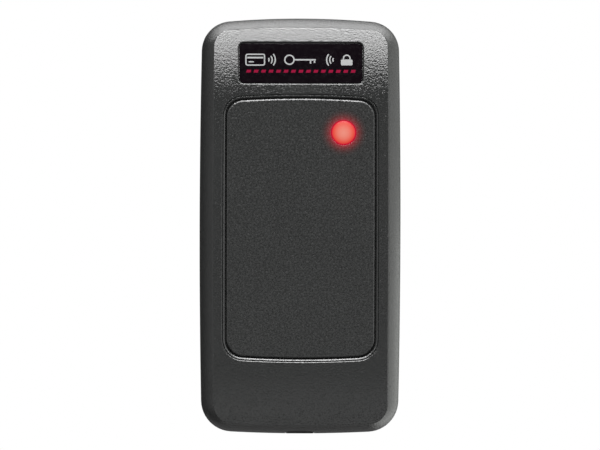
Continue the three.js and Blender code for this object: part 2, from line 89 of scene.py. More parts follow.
def bowed(o, d=0.0, n=(14, 12, 56)):
    """Barrelled rectangle with rounded corners, as points in x and z from bottom centre round by the right."""
    hw, top, bot, rT, rB = o["hw"] + d, o["top"] + d, o["bot"] - d, o["rT"] + d, o["rB"] + d
    sb, eT, eB = o["sb"], o["eT"], o["eB"]
    H, zc = (top - bot) / 2, (top + bot) / 2
    Rs = (H * H + sb * sb) / (2 * sb)
    Cs = np.array([hw - Rs, zc])
    RT, RB = (hw * hw + eT * eT) / (2 * eT), (hw * hw + eB * eB) / (2 * eB)
    CT, CB = np.array([0, top - RT]), np.array([0, bot + RB])
    cT, cB = _meet(Cs, Rs - rT, CT, RT - rT, 10), _meet(Cs, Rs - rB, CB, RB - rB, -10)

    def touch(C, R, c):
        return C + (c - C) / np.linalg.norm(c - C) * R

    def arc(C, R, p, q, k):
        a0, a1 = math.atan2(p[1] - C[1], p[0] - C[0]), math.atan2(q[1] - C[1], q[0] - C[0])
        a1 += 2 * math.pi * round((a0 - a1) / (2 * math.pi))
        a = a0 + (a1 - a0) * np.arange(k) / k
        return np.stack([C[0] + R * np.cos(a), C[1] + R * np.sin(a)], 1)

    tB, sB, sT, tT = touch(CB, RB, cB), touch(Cs, Rs, cB), touch(Cs, Rs, cT), touch(CT, RT, cT)
    right = np.concatenate([
        arc(CB, RB, np.array([0, bot]), tB, n[0]), arc(cB, rB, tB, sB, n[1]), arc(Cs, Rs, sB, sT, n[2]),
        arc(cT, rT, sT, tT, n[1]), arc(CT, RT, tT, np.array([0, top]), n[0]), [[0, top]]])
    left = right[1:-1][::-1] * [-1, 1]
    return np.concatenate([right, left])


def rrect(w, h, r, x=0.0, z=0.0, n=(20, 8, 8)):
    """Rounded rectangle; n is points along a long side, a corner and a short side."""
    a, b = w / 2, h / 2
    pts = []
    for cx, cz, a0, k in ((a - r, -b + r, -90, n[2]), (a - r, b - r, 0, n[0]), (-a + r, b - r, 90, n[2]), (-a + r, -b + r, 180, n[0])):
        for i in range(n[1] + 1):
            t = math.radians(a0 + 90 * i / n[1])
            pts.append((x + cx + r * math.cos(t), z + cz + r * math.sin(t)))
        t = math.radians(a0 + 90)
        p = np.array(pts[-1])
        step = {-90: (0, 2 * (b - r)), 0: (-2 * (a - r), 0), 90: (0, -2 * (b - r)), 180: (2 * (a - r), 0)}[a0]
        for i in range(1, k):
            pts.append(tuple(p + np.array(step) * i / k))
    return np.array(pts)


def circle(x, z, r, n=48, phase=0.0):
    a = phase + np.arange(n) / n * 2 * math.pi
    return np.stack([x + r * np.cos(a), z + r * np.sin(a)], 1)


# ------------------------------------------------------------------ mesh building
class Build:
    def __init__(self):
        self.v, self.f = [], []

    def ring(self, pts):
        k = len(self.v)
        self.v.extend(map(tuple, pts))
        return list(range(k, k + len(pts)))

    def flat(self, xz, y):
        """Ring of points in x and z at depth y, a number or one for each point."""
        y = np.broadcast_to(y, (len(xz),))
        return self.ring(np.stack([xz[:, 0], y, xz[:, 1]], 1))

    def bridge(self, a, b, closed=True):
        n = len(a)
        for i in range(n if closed else n - 1):
            j = (i + 1) % n
            self.f.append((a[i], a[j], b[j], b[i]))

    def rings(self, list_of_rings):
        for a, b in zip(list_of_rings, list_of_rings[1:]):
            self.bridge(a, b)

    def fill(self, outer, holes=(), y=None, step=None, clear=0.5):
        """Triangles between the outer ring and the holes, with a regular field of inner points step apart at depth y(z)."""
        loops = [outer, *holes]
        ids = [i for l in loops for i in l]
        P = np.array([(self.v[i][0], self.v[i][2]) for i in ids])
        edges, k = [], 0
        for l in loops:
            edges += [(k + i, k + (i + 1) % len(l)) for i in range(len(l))]
            k += len(l)
        polys = [np.array([(self.v[i][0], self.v[i][2]) for i in l]) for l in loops]

        def inside(q):
            ok = _in_poly(q, polys[0])
            for h in polys[1:]:
                ok &= ~_in_poly(q, h)
            return ok

        extra = np.zeros((0, 2))
        if step:
            lo, hi = polys[0].min(0), polys[0].max(0)
            rows = np.arange(lo[1], hi[1], step * 0.866)
            g = np.concatenate([np.stack([np.arange(lo[0] + (step / 2 if r % 2 else 0), hi[0], step), np.full(len(np.arange(lo[0] + (step / 2 if r % 2 else 0), hi[0], step)), z)], 1) for r, z in enumerate(rows)])
            g = g[inside(g)]
            B = np.concatenate([_dense(p, clear) for p in polys])
            keep = np.ones(len(g), bool)
            for s in range(0, len(g), 400):
                dd = np.linalg.norm(g[s:s + 400, None] - B[None], axis=2).min(1)
                keep[s:s + 400] = dd > clear
            extra = g[keep]
        allp = np.concatenate([P, extra])
        new = self.ring([(p[0], float(y(p[1])) if callable(y) else y, p[1]) for p in extra]) if len(extra) else []
        ids = ids + new
        vo, _, fo, ov, _, _ = delaunay_2d_cdt([Vector(p) for p in allp], edges, [], 0, 1e-6, True)
        cen = np.array([np.mean([vo[i] for i in t], axis=0) for t in fo])
        ok = inside(cen)
        for t, good in zip(fo, ok):
            if good:
                self.f.append(tuple(ids[ov[i][0]] for i in t))

    def cap(self, ring_ids):
        """Closes a ring with one flat face."""
        self.f.append(tuple(ring_ids))

    def mesh(self, name):
        me = bpy.data.meshes.new(name)
        me.from_pydata([(x * MM, y * MM, z * MM) for x, y, z in self.v], [], self.f)
        bm = bmesh.new()
        bm.from_mesh(me)
        bmesh.ops.remove_doubles(bm, verts=bm.verts, dist=2e-7)
        bmesh.ops.dissolve_degenerate(bm, dist=1e-7, edges=bm.edges)
        bmesh.ops.recalc_face_normals(bm, faces=bm.faces)
        bm.to_mesh(me)
        bm.free()
        return me


def _dense(p, gap):
    q = np.roll(p, -1, 0)
    out = []
    for a, b in zip(p, q):
        k = max(1, int(np.linalg.norm(b - a) / gap * 2))
        out.append(a + (b - a) * (np.arange(k) / k)[:, None])
    return np.concatenate(out)


def _in_poly(q, poly):
    x, z = q[:, 0], q[:, 1]
    c = np.zeros(len(q), bool)
    p2 = np.roll(poly, -1, 0)
    for (x1, z1), (x2, z2) in zip(poly, p2):
        if z1 == z2:
            continue
        hit = ((z1 > z) != (z2 > z)) & (x < (x2 - x1) * (z - z1) / (z2 - z1) + x1)
        c ^= hit
    return c


def piece(name, me, material, body, replaces=(), angle=34):
    me.materials.clear()
    me.materials.append(material)
    me.shade_smooth()
    me.set_sharp_from_angle(angle=math.radians(angle))
    o = bpy.data.objects.new(name, me)
    COLL.objects.link(o)
    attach(o, body)
    if replaces:
        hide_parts(*replaces)
    return o


def boolean(me, tool_me, how, solver="EXACT"):
    """me joined with or cut by tool_me, as a new mesh."""
    a = bpy.data.objects.new("_a", me)
    b = bpy.data.objects.new("_b", tool_me)
    COLL.objects.link(a)
    COLL.objects.link(b)
    m = a.modifiers.new("m", "BOOLEAN")
    m.operation, m.object, m.solver = how, b, solver
    bpy.context.view_layer.update()
    out = bpy.data.meshes.new_from_object(a.evaluated_get(bpy.context.evaluated_depsgraph_get()))
    bpy.data.objects.remove(a)
    bpy.data.objects.remove(b)
    return out


def slab(loop, holes, y0, y1, r0=0.0, r1=0.0, steps=3, step=None):
    """A plate from y0 (rear) to y1 (front). loop(d) and each holes[i](d) give the outline grown by d; r0 and r1 round the rear and front edges."""
    b = Build()

    def wall(fn, sign):
        rings = []
        if r0:
            for i in range(steps + 1):
                t = math.pi / 2 * i / steps
                rings.append(b.flat(fn(-sign * r0 * (1 - math.sin(t))), y0 - r0 * (1 - math.cos(t))))
        else:
            rings.append(b.flat(fn(0), y0))
        if r1:
            for i in range(steps + 1):
                t = math.pi / 2 * i / steps
                rings.append(b.flat(fn(-sign * r1 * (1 - math.cos(t))), y1 + r1 * (1 - math.sin(t))))
        else:
            rings.append(b.flat(fn(0), y1))
        b.rings(rings)
        return rings[0], rings[-1]

    o = wall(loop, 1)
    hs = [wall(h, -1) for h in holes]
    b.fill(o[0], [h[0] for h in hs], y=y0, step=step)
    b.fill(o[1], [h[1] for h in hs], y=y1, step=step)
    return b


def lathe(profile, x, z, n=64):
    """Revolved about the line along y through x, z; profile is (radius, y) and closes on itself or on the axis."""
    b = Build()
    rings, k = [], len(profile)
    for r, y in profile:
        rings.append([len(b.v)] * n if r < 1e-6 else None)
        if r < 1e-6:
            b.v.append((x, y, z))
        else:
            rings[-1] = b.flat(circle(x, z, r, n), y)
    for a, c in zip(rings, rings[1:]):
        for i in range(n):
            j = (i + 1) % n
            q = [a[i], a[j], c[j], c[i]]
            u = list(dict.fromkeys(q))
            if len(u) > 2:
                b.f.append(tuple(u))
    return b


# ------------------------------------------------------------------ materials
def material(name, base, rough=0.45, metal=0.0, coat=0.0, emit=None, emit_strength=0.0, grain=None, tone=0.08, rough_var=0.06,
             tone_scale=90.0, ior=1.5, spec=0.5, sub=0.0, trans=0.0, fleck=0.0):
    """Principled material whose colour and roughness vary with fine noise and whose surface has the grain (size in mm, height in mm, strength)."""
    m = bpy.data.materials.new(name)
    m.use_nodes = True
    nt = m.node_tree
    nt.nodes.clear()
    N = nt.nodes.new
    L = nt.links.new
    out, bsdf = N("ShaderNodeOutputMaterial"), N("ShaderNodeBsdfPrincipled")
    L(bsdf.outputs[0], out.inputs[0])
    tc = N("ShaderNodeTexCoord")
    n1 = N("ShaderNodeTexNoise")
    n1.inputs["Scale"].default_value = tone_scale
    n1.inputs["Detail"].default_value = 4
    L(tc.outputs["Object"], n1.inputs["Vector"])
    mr = N("ShaderNodeMapRange")
    mr.inputs["From Min"].default_value, mr.inputs["From Max"].default_value = 0.3, 0.7
    mr.inputs["To Min"].default_value, mr.inputs["To Max"].default_value = 1 - tone, 1 + tone
    L(n1.outputs["Fac"], mr.inputs["Value"])
    scale = N("ShaderNodeVectorMath")
    scale.operation = "SCALE"
    rgb = N("ShaderNodeRGB")
    rgb.outputs[0].default_value = (*base, 1)
    L(rgb.outputs[0], scale.inputs[0])
    L(mr.outputs[0], scale.inputs["Scale"])
    colour = scale.outputs[0]
    bsdf.inputs["Metallic"].default_value = metal
    bsdf.inputs["IOR"].default_value = ior
    bsdf.inputs["Specular IOR Level"].default_value = spec
    bsdf.inputs["Coat Weight"].default_value = coat
    bsdf.inputs["Coat Roughness"].default_value = 0.12
    bsdf.inputs["Subsurface Weight"].default_value = sub
    if sub:
        bsdf.inputs["Subsurface Scale"].default_value = 0.0008
    bsdf.inputs["Transmission Weight"].default_value = trans
    rr = N("ShaderNodeMapRange")
    rr.inputs["From Min"].default_value, rr.inputs["From Max"].default_value = 0.3, 0.7
    rr.inputs["To Min"].default_value, rr.inputs["To Max"].default_value = max(0.02, rough - rough_var), min(1, rough + rough_var)
    n2 = N("ShaderNodeTexNoise")
    n2.inputs["Scale"].default_value = (1 / (grain[0] * MM) if grain else 900)
    n2.inputs["Detail"].default_value = 1.5
    n2.inputs["Roughness"].default_value = 0.5
    L(tc.outputs["Object"], n2.inputs["Vector"])
    L(n2.outputs["Fac"], rr.inputs["Value"])
    L(rr.outputs[0], bsdf.inputs["Roughness"])
    if grain:
        bump = N("ShaderNodeBump")
        bump.inputs["Strength"].default_value = grain[2]
        bump.inputs["Distance"].default_value = grain[1] * MM
        L(n2.outputs["Fac"], bump.inputs["Height"])
        L(bump.outputs[0], bsdf.inputs["Normal"])
    if fleck:
        n3 = N("ShaderNodeMapRange")
        n3.inputs["From Min"].default_value, n3.inputs["From Max"].default_value = 0.35, 0.65
        n3.inputs["To Min"].default_value, n3.inputs["To Max"].default_value = 1 - fleck, 1 + fleck
        L(n2.outputs["Fac"], n3.inputs["Value"])
        s2 = N("ShaderNodeVectorMath")
        s2.operation = "SCALE"
        L(colour, s2.inputs[0])
        L(n3.outputs[0], s2.inputs["Scale"])
        colour = s2.outputs[0]
    L(colour, bsdf.inputs["Base Color"])
    if emit:
        bsdf.inputs["Emission Color"].default_value = (*emit, 1)
        bsdf.inputs["Emission Strength"].default_value = emit_strength
    m["tc"] = tc.name
    return m


def parts_of(m):
    nt = m.node_tree
    return nt, next(n for n in nt.nodes if n.type == "BSDF_PRINCIPLED"), nt.nodes[m["tc"]]


def radial(m, x, z):
    """Distance in mm from the line along y through x, z, as an output socket of the material's tree."""
    nt, _, tc = parts_of(m)
    N, L = nt.nodes.new, nt.links.new
    sub = N("ShaderNodeVectorMath")
    sub.operation = "SUBTRACT"
    sub.inputs[1].default_value = (x * MM, 0, z * MM)
    L(tc.outputs["Object"], sub.inputs[0])
    flat = N("ShaderNodeVectorMath")
    flat.operation = "MULTIPLY"
    flat.inputs[1].default_value = (1000, 0, 1000)
    L(sub.outputs[0], flat.inputs[0])
    ln = N("ShaderNodeVectorMath")
    ln.operation = "LENGTH"
    L(flat.outputs[0], ln.inputs[0])
    return ln.outputs["Value"]


def ramp(m, value, lo, hi, stops, mode="LINEAR"):
    nt = m.node_tree
    mr = nt.nodes.new("ShaderNodeMapRange")
    mr.inputs["From Min"].default_value, mr.inputs["From Max"].default_value = lo, hi
    nt.links.new(value, mr.inputs["Value"])
    cr = nt.nodes.new("ShaderNodeValToRGB")
    cr.color_ramp.interpolation = mode
    while len(cr.color_ramp.elements) < len(stops):
        cr.color_ramp.elements.new(0.5)
    for e, (p, c) in zip(cr.color_ramp.elements, stops):
        e.position, e.color = p, (*c, 1)
    nt.links.new(mr.outputs[0], cr.inputs[0])
    return cr.outputs[0]


BLACK = (0.0090, 0.0094, 0.0092)
GRAIN = (0.31, 0.086, 1.0)
M = {}
M["cover"] = material("black_grained_cover", BLACK, 0.18, grain=GRAIN, tone=0.06, fleck=0.10, rough_var=0.04)
M["panel"] = material("black_grained_panel", BLACK, 0.26, grain=(0.36, 0.075, 1.0), tone=0.06, fleck=0.28, rough_var=0.08)
M["badge"] = material("gloss_black_badge", (0.0013, 0.0006, 0.0012), 0.08, coat=0.0, grain=(0.8, 0.001, 0.3), tone=0.05, rough_var=0.02)
M["silver"] = material("silver_print", (0.115, 0.118, 0.118), 0.45, grain=(0.12, 0.002, 0.3), tone=0.10, rough_var=0.08)
M["red_print"] = material("red_print", (0.10, 0.0006, 0.012), 0.8, spec=0.05, grain=(0.12, 0.002, 0.3), tone=0.12)
M["lens"] = material("red_lens", (0.75, 0.08, 0.05), 0.42, grain=(0.5, 0.002, 0.3), tone=0.05, coat=0.0, spec=0.12)
M["base"] = material("black_back_plate", (0.013, 0.0135, 0.0135), 0.5, grain=(0.22, 0.015, 0.6), tone=0.08, fleck=0.08)
M["foam"] = material("grey_foam", (0.050, 0.050, 0.050), 0.9, grain=(0.35, 0.10, 0.9), tone=0.15, fleck=0.3, spec=0.3)
M["rubber"] = material("soft_rubber", (0.016, 0.016, 0.016), 0.72, grain=(0.25, 0.012, 0.5), tone=0.12, spec=0.4)
M["brass"] = material("turned_brass", (0.70, 0.47, 0.18), 0.28, metal=1, grain=(0.10, 0.004, 0.5), tone=0.10, rough_var=0.10)
M["steel"] = material("turned_stainless", (0.56, 0.55, 0.53), 0.27, metal=1, grain=(0.10, 0.004, 0.5), tone=0.08, rough_var=0.10)
M["zinc"] = material("zinc_plated", (0.60, 0.60, 0.57), 0.33, metal=1, grain=(0.12, 0.004, 0.5), tone=0.12, rough_var=0.12)
M["nylon"] = material("natural_nylon", (0.40, 0.385, 0.33), 0.48, grain=(0.3, 0.006, 0.4), tone=0.05, sub=0.15)
M["pcb"] = material("green_board", (0.007, 0.050, 0.018), 0.36, grain=(0.5, 0.006, 0.4), tone=0.14, coat=0.25)
M["former"] = material("ivory_former", (0.30, 0.275, 0.21), 0.52, grain=(0.3, 0.008, 0.5), tone=0.06)
M["copper"] = material("enamelled_copper", (0.62, 0.20, 0.07), 0.26, metal=0.9, grain=(0.15, 0.004, 0.4), tone=0.15, coat=0.4)
M["white_pkg"] = material("white_package", (0.42, 0.415, 0.385), 0.42, grain=(0.2, 0.004, 0.4), tone=0.05)
M["chip"] = material("chip_epoxy", (0.013, 0.013, 0.014), 0.55, grain=(0.12, 0.008, 0.6), tone=0.15, fleck=0.15)
M["can"] = material("drawn_can", (0.58, 0.58, 0.56), 0.24, metal=1, grain=(0.2, 0.003, 0.4), tone=0.08, rough_var=0.08)
M["ferrite"] = material("ferrite", (0.040, 0.038, 0.037), 0.62, grain=(0.18, 0.014, 0.7), tone=0.2, fleck=0.2)
M["ochre"] = material("ochre_capacitor", (0.30, 0.135, 0.020), 0.45, grain=(0.2, 0.006, 0.5), tone=0.1)
M["disc"] = material("sounder_disc", (0.62, 0.46, 0.20), 0.3, metal=1, grain=(0.15, 0.004, 0.4), tone=0.1)
M["ivory"] = material("ivory_header", (0.46, 0.43, 0.34), 0.5, grain=(0.3, 0.006, 0.5), tone=0.05)
M["tin"] = material("tinned_pin", (0.66, 0.63, 0.55), 0.3, metal=1, grain=(0.1, 0.003, 0.4), tone=0.1)
M["sleeve"] = material("blue_sleeve", (0.020, 0.030, 0.085), 0.3, grain=(0.6, 0.006, 0.4), tone=0.1, coat=0.3)
M["acetal"] = material("acetal_plunger", (0.55, 0.50, 0.36), 0.4, grain=(0.3, 0.004, 0.4), tone=0.05, sub=0.1)
M["spring"] = material("spring_steel", (0.50, 0.50, 0.49), 0.3, metal=1, grain=(0.08, 0.002, 0.4), tone=0.1)

# lens: a pale hot centre, orange-red body and a deep red rim
r = radial(M["lens"], LED_X, LED_Z)
glow = ramp(M["lens"], r, 0.0, 2.6, [(0.0, (0.81, 0.314, 0.236)), (0.31, (0.80, 0.262, 0.191)), (0.50, (0.80, 0.197, 0.141)), (0.65, (0.78, 0.131, 0.085)), (0.77, (0.77, 0.076, 0.045)),
                                     (0.83, (0.74, 0.050, 0.042)), (0.885, (0.69, 0.001, 0.032)), (0.93, (0.47, 0.001, 0.026))])
nt, bsdf, _ = parts_of(M["lens"])
nt.links.new(glow, bsdf.inputs["Emission Color"])
bsdf.inputs["Emission Strength"].default_value = 0.85
bsdf.inputs["Base Color"].default_value = (0.06, 0.004, 0.004, 1)
for l in list(bsdf.inputs["Base Color"].links):
    nt.links.remove(l)
# painted glow: the panel round the lens gets a red emission ramp on its own material, centred on the lens, standing in
# for the red light the lens casts on it
r = radial(M["panel"], LED_X, LED_Z)
painted_led_glow = ramp(M["panel"], r, 2.3, 6.3, [(0.0, (0.42, 0.001, 0.018)), (0.05, (0.35, 0.001, 0.016)), (0.10, (0.235, 0.0005, 0.010)), (0.15, (0.158, 0.0, 0.004)), (0.20, (0.118, 0.0, 0.002)), (0.25, (0.088, 0.0, 0.001)),
                                      (0.30, (0.061, 0.0, 0.0)), (0.36, (0.037, 0.0, 0.0)), (0.43, (0.019, 0.0, 0.0)), (0.50, (0.009, 0.0, 0.0)), (0.60, (0.001, 0.0, 0.0)), (1.0, (0.0, 0.0, 0.0))])
nt, bsdf, _ = parts_of(M["panel"])
nt.links.new(painted_led_glow, bsdf.inputs["Emission Color"])
bsdf.inputs["Emission Strength"].default_value = 1.0

# ------------------------------------------------------------------ front cover
N_OUT = (14, 12, 56)


def inset(u):
    return 0.16 * u + 0.84 * u ** 2.4


def cover_mesh():
    b = Build()
    A, F = bowed(BODY, 0, N_OUT), bowed(FACE, 0, N_OUT)
    DF = depth(F[:, 1])
    span = np.linalg.norm(F - A, axis=1)
    dirn = (F - A) / span[:, None]

    def flank(u):
        f = inset(u)
        xz = A + (F - A) * f
        return np.stack([xz[:, 0], -(RIM + (DF - RIM) * u), xz[:, 1]], 1)

    # rear rim: inner edge, small round, flank
    C = bowed(CAVR, 0, N_OUT)
    rim_in = b.flat(C, -RIM)
    rings = [rim_in]
    for t in (0, 30, 60, 90):
        q = 0.22 * (1 - math.sin(math.radians(t)))
        xz = bowed(BODY, -q, N_OUT)
        rings.append(b.flat(xz, -RIM - 0.22 * (1 - math.cos(math.radians(t)))))
    us = [0.05, 0.12, 0.2, 0.28, 0.36, 0.44, 0.52, 0.6, 0.67, 0.74, 0.8, 0.85, 0.89, 0.925, 0.955]
    rings += [b.ring(flank(u)) for u in us]
    # rounded corner from flank to face
    t1 = flank(1.0) - flank(0.985)
    s1, y1 = (t1[:, [0, 2]] * dirn).sum(1), t1[:, 1]
    t1 = np.stack([s1, y1], 1)
    t1 /= np.linalg.norm(t1, axis=1)[:, None]
    dz = 1e-3
    slope = -(depth(F[:, 1] + dz) - depth(F[:, 1] - dz)) / (2 * dz) * dirn[:, 1]
    t2 = np.stack([np.ones(len(F)), slope], 1)
    t2 /= np.linalg.norm(t2, axis=1)[:, None]
    turn = np.arccos(np.clip((t1 * t2).sum(1), -1, 1))
    rad = 0.17 + 0.13 * np.clip(-dirn[:, 1], 0, 1) ** 0.5
    Lt = rad * np.tan(turn / 2)
    n1 = np.stack([-t1[:, 1], t1[:, 0]], 1)
    n1 *= np.sign((n1 * t2).sum(1))[:, None]
    P1 = -t1 * Lt[:, None]
    rad = rad[:, None]
    Cc = P1 + n1 * rad
    steps = 6
    for i in range(steps + 1):
        a = turn * i / steps
        p = Cc - n1 * (rad * np.cos(a)[:, None]) + t1 * (rad * np.sin(a)[:, None])
        xz = F + dirn * p[:, :1]
        rings.append(b.ring(np.stack([xz[:, 0], -DF + p[:, 1], xz[:, 1]], 1)))
    # face just inside the corner
    for extra in (0.10, 0.28):
        xz = F + dirn * (Lt + extra)[:, None]
        rings.append(b.flat(xz, -depth(xz[:, 1])))
    b.rings(rings)
    face_edge = rings[-1]

    # groove, bead and wall round the panel opening
    profile = [(0.94, 0.0), (0.74, 0.0), (0.705, 0.005), (0.61, 0.070), (0.592, 0.12), (0.578, 0.185), (0.565, 0.235), (0.545, 0.255), (0.515, 0.25), (0.485, 0.21),
               (0.462, 0.14), (0.447, 0.07), (0.435, 0.025), (0.42, 0.006), (0.40, 0.0), (0.35, 0.0), (0.315, 0.007), (0.118, 0.133), (0.102, 0.18), (0.092, 0.26), (0.085, 0.40), (0.08, 0.7), (0.08, WALL)]
    n = (10, 12, 44)
    gr = []
    for d, h in profile:
        xz = bowed(PANEL, 0.22 + d, n)
        gr.append(b.flat(xz, -depth(xz[:, 1]) + h))
    b.rings(gr)

    # badge pocket: a softened edge on the rolled face, then a wall down to a flat floor
    bp = []
    for d, h in ((0.60, 0.0), (0.44, 0.0), (0.38, 0.008), (0.32, 0.035), (0.26, 0.085), (0.20, 0.16), (0.15, 0.25)):
        xw = rrect(BADGE_W + 2 * d, BADGE_H + 2 * d, BADGE_R + d, n=(24, 8, 8))
        z = BADGE_Z + xw[:, 1] * math.cos(BADGE_TILT)
        bp.append(b.ring(np.stack([xw[:, 0], -depth(z), z], 1) - BN * h))
    for d, h in ((0.11, -0.62), (0.10, -0.80), (0.10, -1.05)):
        bp.append(b.ring(on_badge(rrect(BADGE_W + 2 * d, BADGE_H + 2 * d, BADGE_R + d, n=(24, 8, 8)), h)))
    b.rings(bp)
    b.fill(bp[-1], y=None)

    # front face between them
    b.fill(face_edge, [gr[0], bp[0]], y=lambda z: -float(depth(z)), step=0.75, clear=0.4)

    # inside: front wall's inner face and the cavity's side
    I = bowed(CAVF, 0, N_OUT)
    inner = []
    for u, f in ((0, 0), (0.25, 0.03), (0.5, 0.12), (0.65, 0.27), (0.8, 0.5), (0.9, 0.72), (0.97, 0.92), (1.0, 1.0)):
        xz = C + (I - C) * f
        yy = -(RIM + (depth(I[:, 1]) - WALL - RIM) * u)
        inner.append(b.flat(xz, yy) if u else rim_in)
    b.rings(inner)
    b.fill(inner[-1], [gr[-1]], y=lambda z: -float(depth(z)) + WALL, step=1.6, clear=0.9)
    return b.mesh("front_cover_shell")


def block(x0, x1, y0, y1, z0, z1, r=0.0):
    b = Build()
    lo, hi = b.flat(rrect(x1 - x0, z1 - z0, max(r, 0.01), (x0 + x1) / 2, (z0 + z1) / 2, n=(1, 4 if r else 1, 1)), y0), None
    hi = b.flat(rrect(x1 - x0, z1 - z0, max(r, 0.01), (x0 + x1) / 2, (z0 + z1) / 2, n=(1, 4 if r else 1, 1)), y1)
    b.bridge(lo, hi)
    b.cap(lo)
    b.cap(hi)
    return b.mesh("block")


def slot_tool(r, z0, z1, y_open, y_end, n=20):
    """A slot along z, open towards +y, with a round end at y_end."""
    b = Build()
    a = np.linspace(0, math.pi, n + 1)
    pts = [(r, y_open)] + [(r * math.cos(t), y_end - r * math.sin(t)) for t in a] + [(-r, y_open)]
    lo = b.ring([(x, y, z0) for x, y in pts])
    hi = b.ring([(x, y, z1) for x, y in pts])
    b.bridge(lo, hi)
    b.cap(lo)
    b.cap(hi)
    return b.mesh("slot")


shell = cover_mesh()
shell = boolean(shell, block(-4.6, 4.6, -0.8, -10.2, -40.4, -37.7, 0.3), "UNION")
shell = boolean(shell, slot_tool(2.88, -45, -38.85, 1.0, SCREW_Y), "DIFFERENCE")
shell = boolean(shell, slot_tool(1.75, -40, -37, 1.0, SCREW_Y), "DIFFERENCE")
for sx in (-9.5, 9.5):
    shell = boolean(shell, block(sx - 3, sx + 3, -1.4, -4.6, 38.6, 40.4, 0.2), "DIFFERENCE")
cover = piece("cover_shell", shell, M["cover"], "cover", ["front_cover"], angle=32)

# ------------------------------------------------------------------ card panel
def panel_mesh():
    b = Build()
    n = (10, 12, 44)
    R = 0.42
    rings = []
    # flange behind the cover's wall
    for d, y in ((1.10, -11.42), (1.15, -11.47), (1.15, -12.22), (1.10, -12.27), (0.06, -12.27), (0.0, -12.33)):
        rings.append(b.flat(bowed(PANEL, d, n), y))
    for i in range(9):
        t = math.pi / 2 * i / 8
        rings.append(b.flat(bowed(PANEL, -R * (1 - math.cos(t)), n), -(DEPTH - R) - R * math.sin(t)))
    for e in (0.10, 0.3):
        rings.append(b.flat(bowed(PANEL, -R - e, n), -DEPTH))
    b.rings(rings)
    hole = []
    for d, y in ((0.20, -DEPTH), (0.06, -DEPTH), (0.03, -DEPTH + 0.008), (0.008, -DEPTH + 0.03), (0.0, -DEPTH + 0.06), (0.0, -DEPTH + 0.2), (0.0, -12.27)):
        hole.append(b.flat(circle(LED_X, LED_Z, 2.5 + d, 64), y))
    b.rings(hole)
    b.fill(rings[-1], [hole[0]], y=-DEPTH, step=0.9, clear=0.5)
    inner = [b.flat(bowed(PANEL, -2.6, n), -11.42), b.flat(bowed(PANEL, -2.6, n), -12.27)]
    b.rings(inner)
    b.bridge(rings[0], inner[0])
    b.fill(inner[1], [hole[-1]], y=-12.27)
    return b.mesh("card_panel_plate")


panel = piece("panel_plate", panel_mesh(), M["panel"], "cover", ["card_panel"], angle=40)

# ------------------------------------------------------------------ badge and its print


def badge_mesh():
    b = Build()
    top, thick, r = -0.32, 0.40, 0.008
    rings = []
    for d, h in ((-0.05, top - thick), (0.0, top - thick + 0.05), (0.0, top - r), (-r * 0.3, top - r * 0.3), (-r, top), (-r - 0.12, top)):
        rings.append(b.ring(on_badge(rrect(BADGE_W + 2 * d, BADGE_H + 2 * d, BADGE_R + d, n=(24, 8, 8)), h)))
    b.rings(rings)
    b.fill(rings[0], y=None)
    b.fill(rings[-1], y=None)
    return b.mesh("badge_plate_mesh")


badge = piece("badge_gloss", badge_mesh(), M["badge"], "cover", ["badge_plate"], angle=15)


def ribbon(path, width, closed=False):
    """Outline of a stroke along a path of points, mitred, with square ends."""
    P = np.asarray(path, float)
    n = len(P)
    T = []
    for i in range(n):
        a = P[(i - 1) % n] if (closed or i > 0) else P[i]
        c = P[(i + 1) % n] if (closed or i < n - 1) else P[i]
        t0 = (P[i] - a) / (np.linalg.norm(P[i] - a) or 1)
        t1 = (c - P[i]) / (np.linalg.norm(c - P[i]) or 1)
        t = t0 + t1
        t /= np.linalg.norm(t)
        m = np.array([-t[1], t[0]])
        k = 1 / max(0.35, abs(m @ np.array([-t1[1], t1[0]])) if np.linalg.norm(t1) else 1)
        T.append(m * width / 2 * k)
    T = np.array(T)
    return P + T, P - T


def print_piece(name, strokes, solids, mat_, h=-0.305, t=0.03):
    """Thin printed marks standing a hair proud of the badge: strokes are (path, width, closed), solids are closed outlines."""
    b = Build()
    for path, w, closed in strokes:
        a, c = ribbon(path, w, closed)
        A0, A1 = b.ring(on_badge(a, h)), b.ring(on_badge(a, h - t))
        C0, C1 = b.ring(on_badge(c, h)), b.ring(on_badge(c, h - t))
        b.bridge(A0, C0, closed)
        b.bridge(A1, C1, closed)
        b.bridge(A0, A1, closed)
        b.bridge(C0, C1, closed)
        if not closed:
            b.f.append((A0[0], C0[0], C1[0], A1[0]))
            b.f.append((A0[-1], C0[-1], C1[-1], A1[-1]))
    for o in solids:
        A0, A1 = b.ring(on_badge(o, h)), b.ring(on_badge(o, h - t))
        b.bridge(A0, A1)
        b.cap(A0)
        b.cap(A1)
    return piece(name, b.mesh(name), mat_, "cover", angle=30)


def arc_path(cx, cw, r, a0, a1, n=14):
    a = np.radians(np.linspace(a0, a1, n))
    return np.stack([cx + r * np.cos(a), cw + r * np.sin(a)], 1)


def rr_path(w, h, r, x, z):
    return rrect(w, h, r, x, z, n=(4, 4, 2))


SW, W0 = 0.26, 0.70  # stroke width and height of the row above the badge's middle
strokes, solids = [], []
# a card
strokes.append((rr_path(3.7, 2.2, 0.35, -9.1, W0), SW, True))
solids.append(rrect(3.2, 0.34, 0.05, -9.1, W0 + 0.42, n=(4, 2, 2)))
solids.append(rrect(1.0, 0.26, 0.05, -9.9, W0 - 0.42, n=(4, 2, 2)))
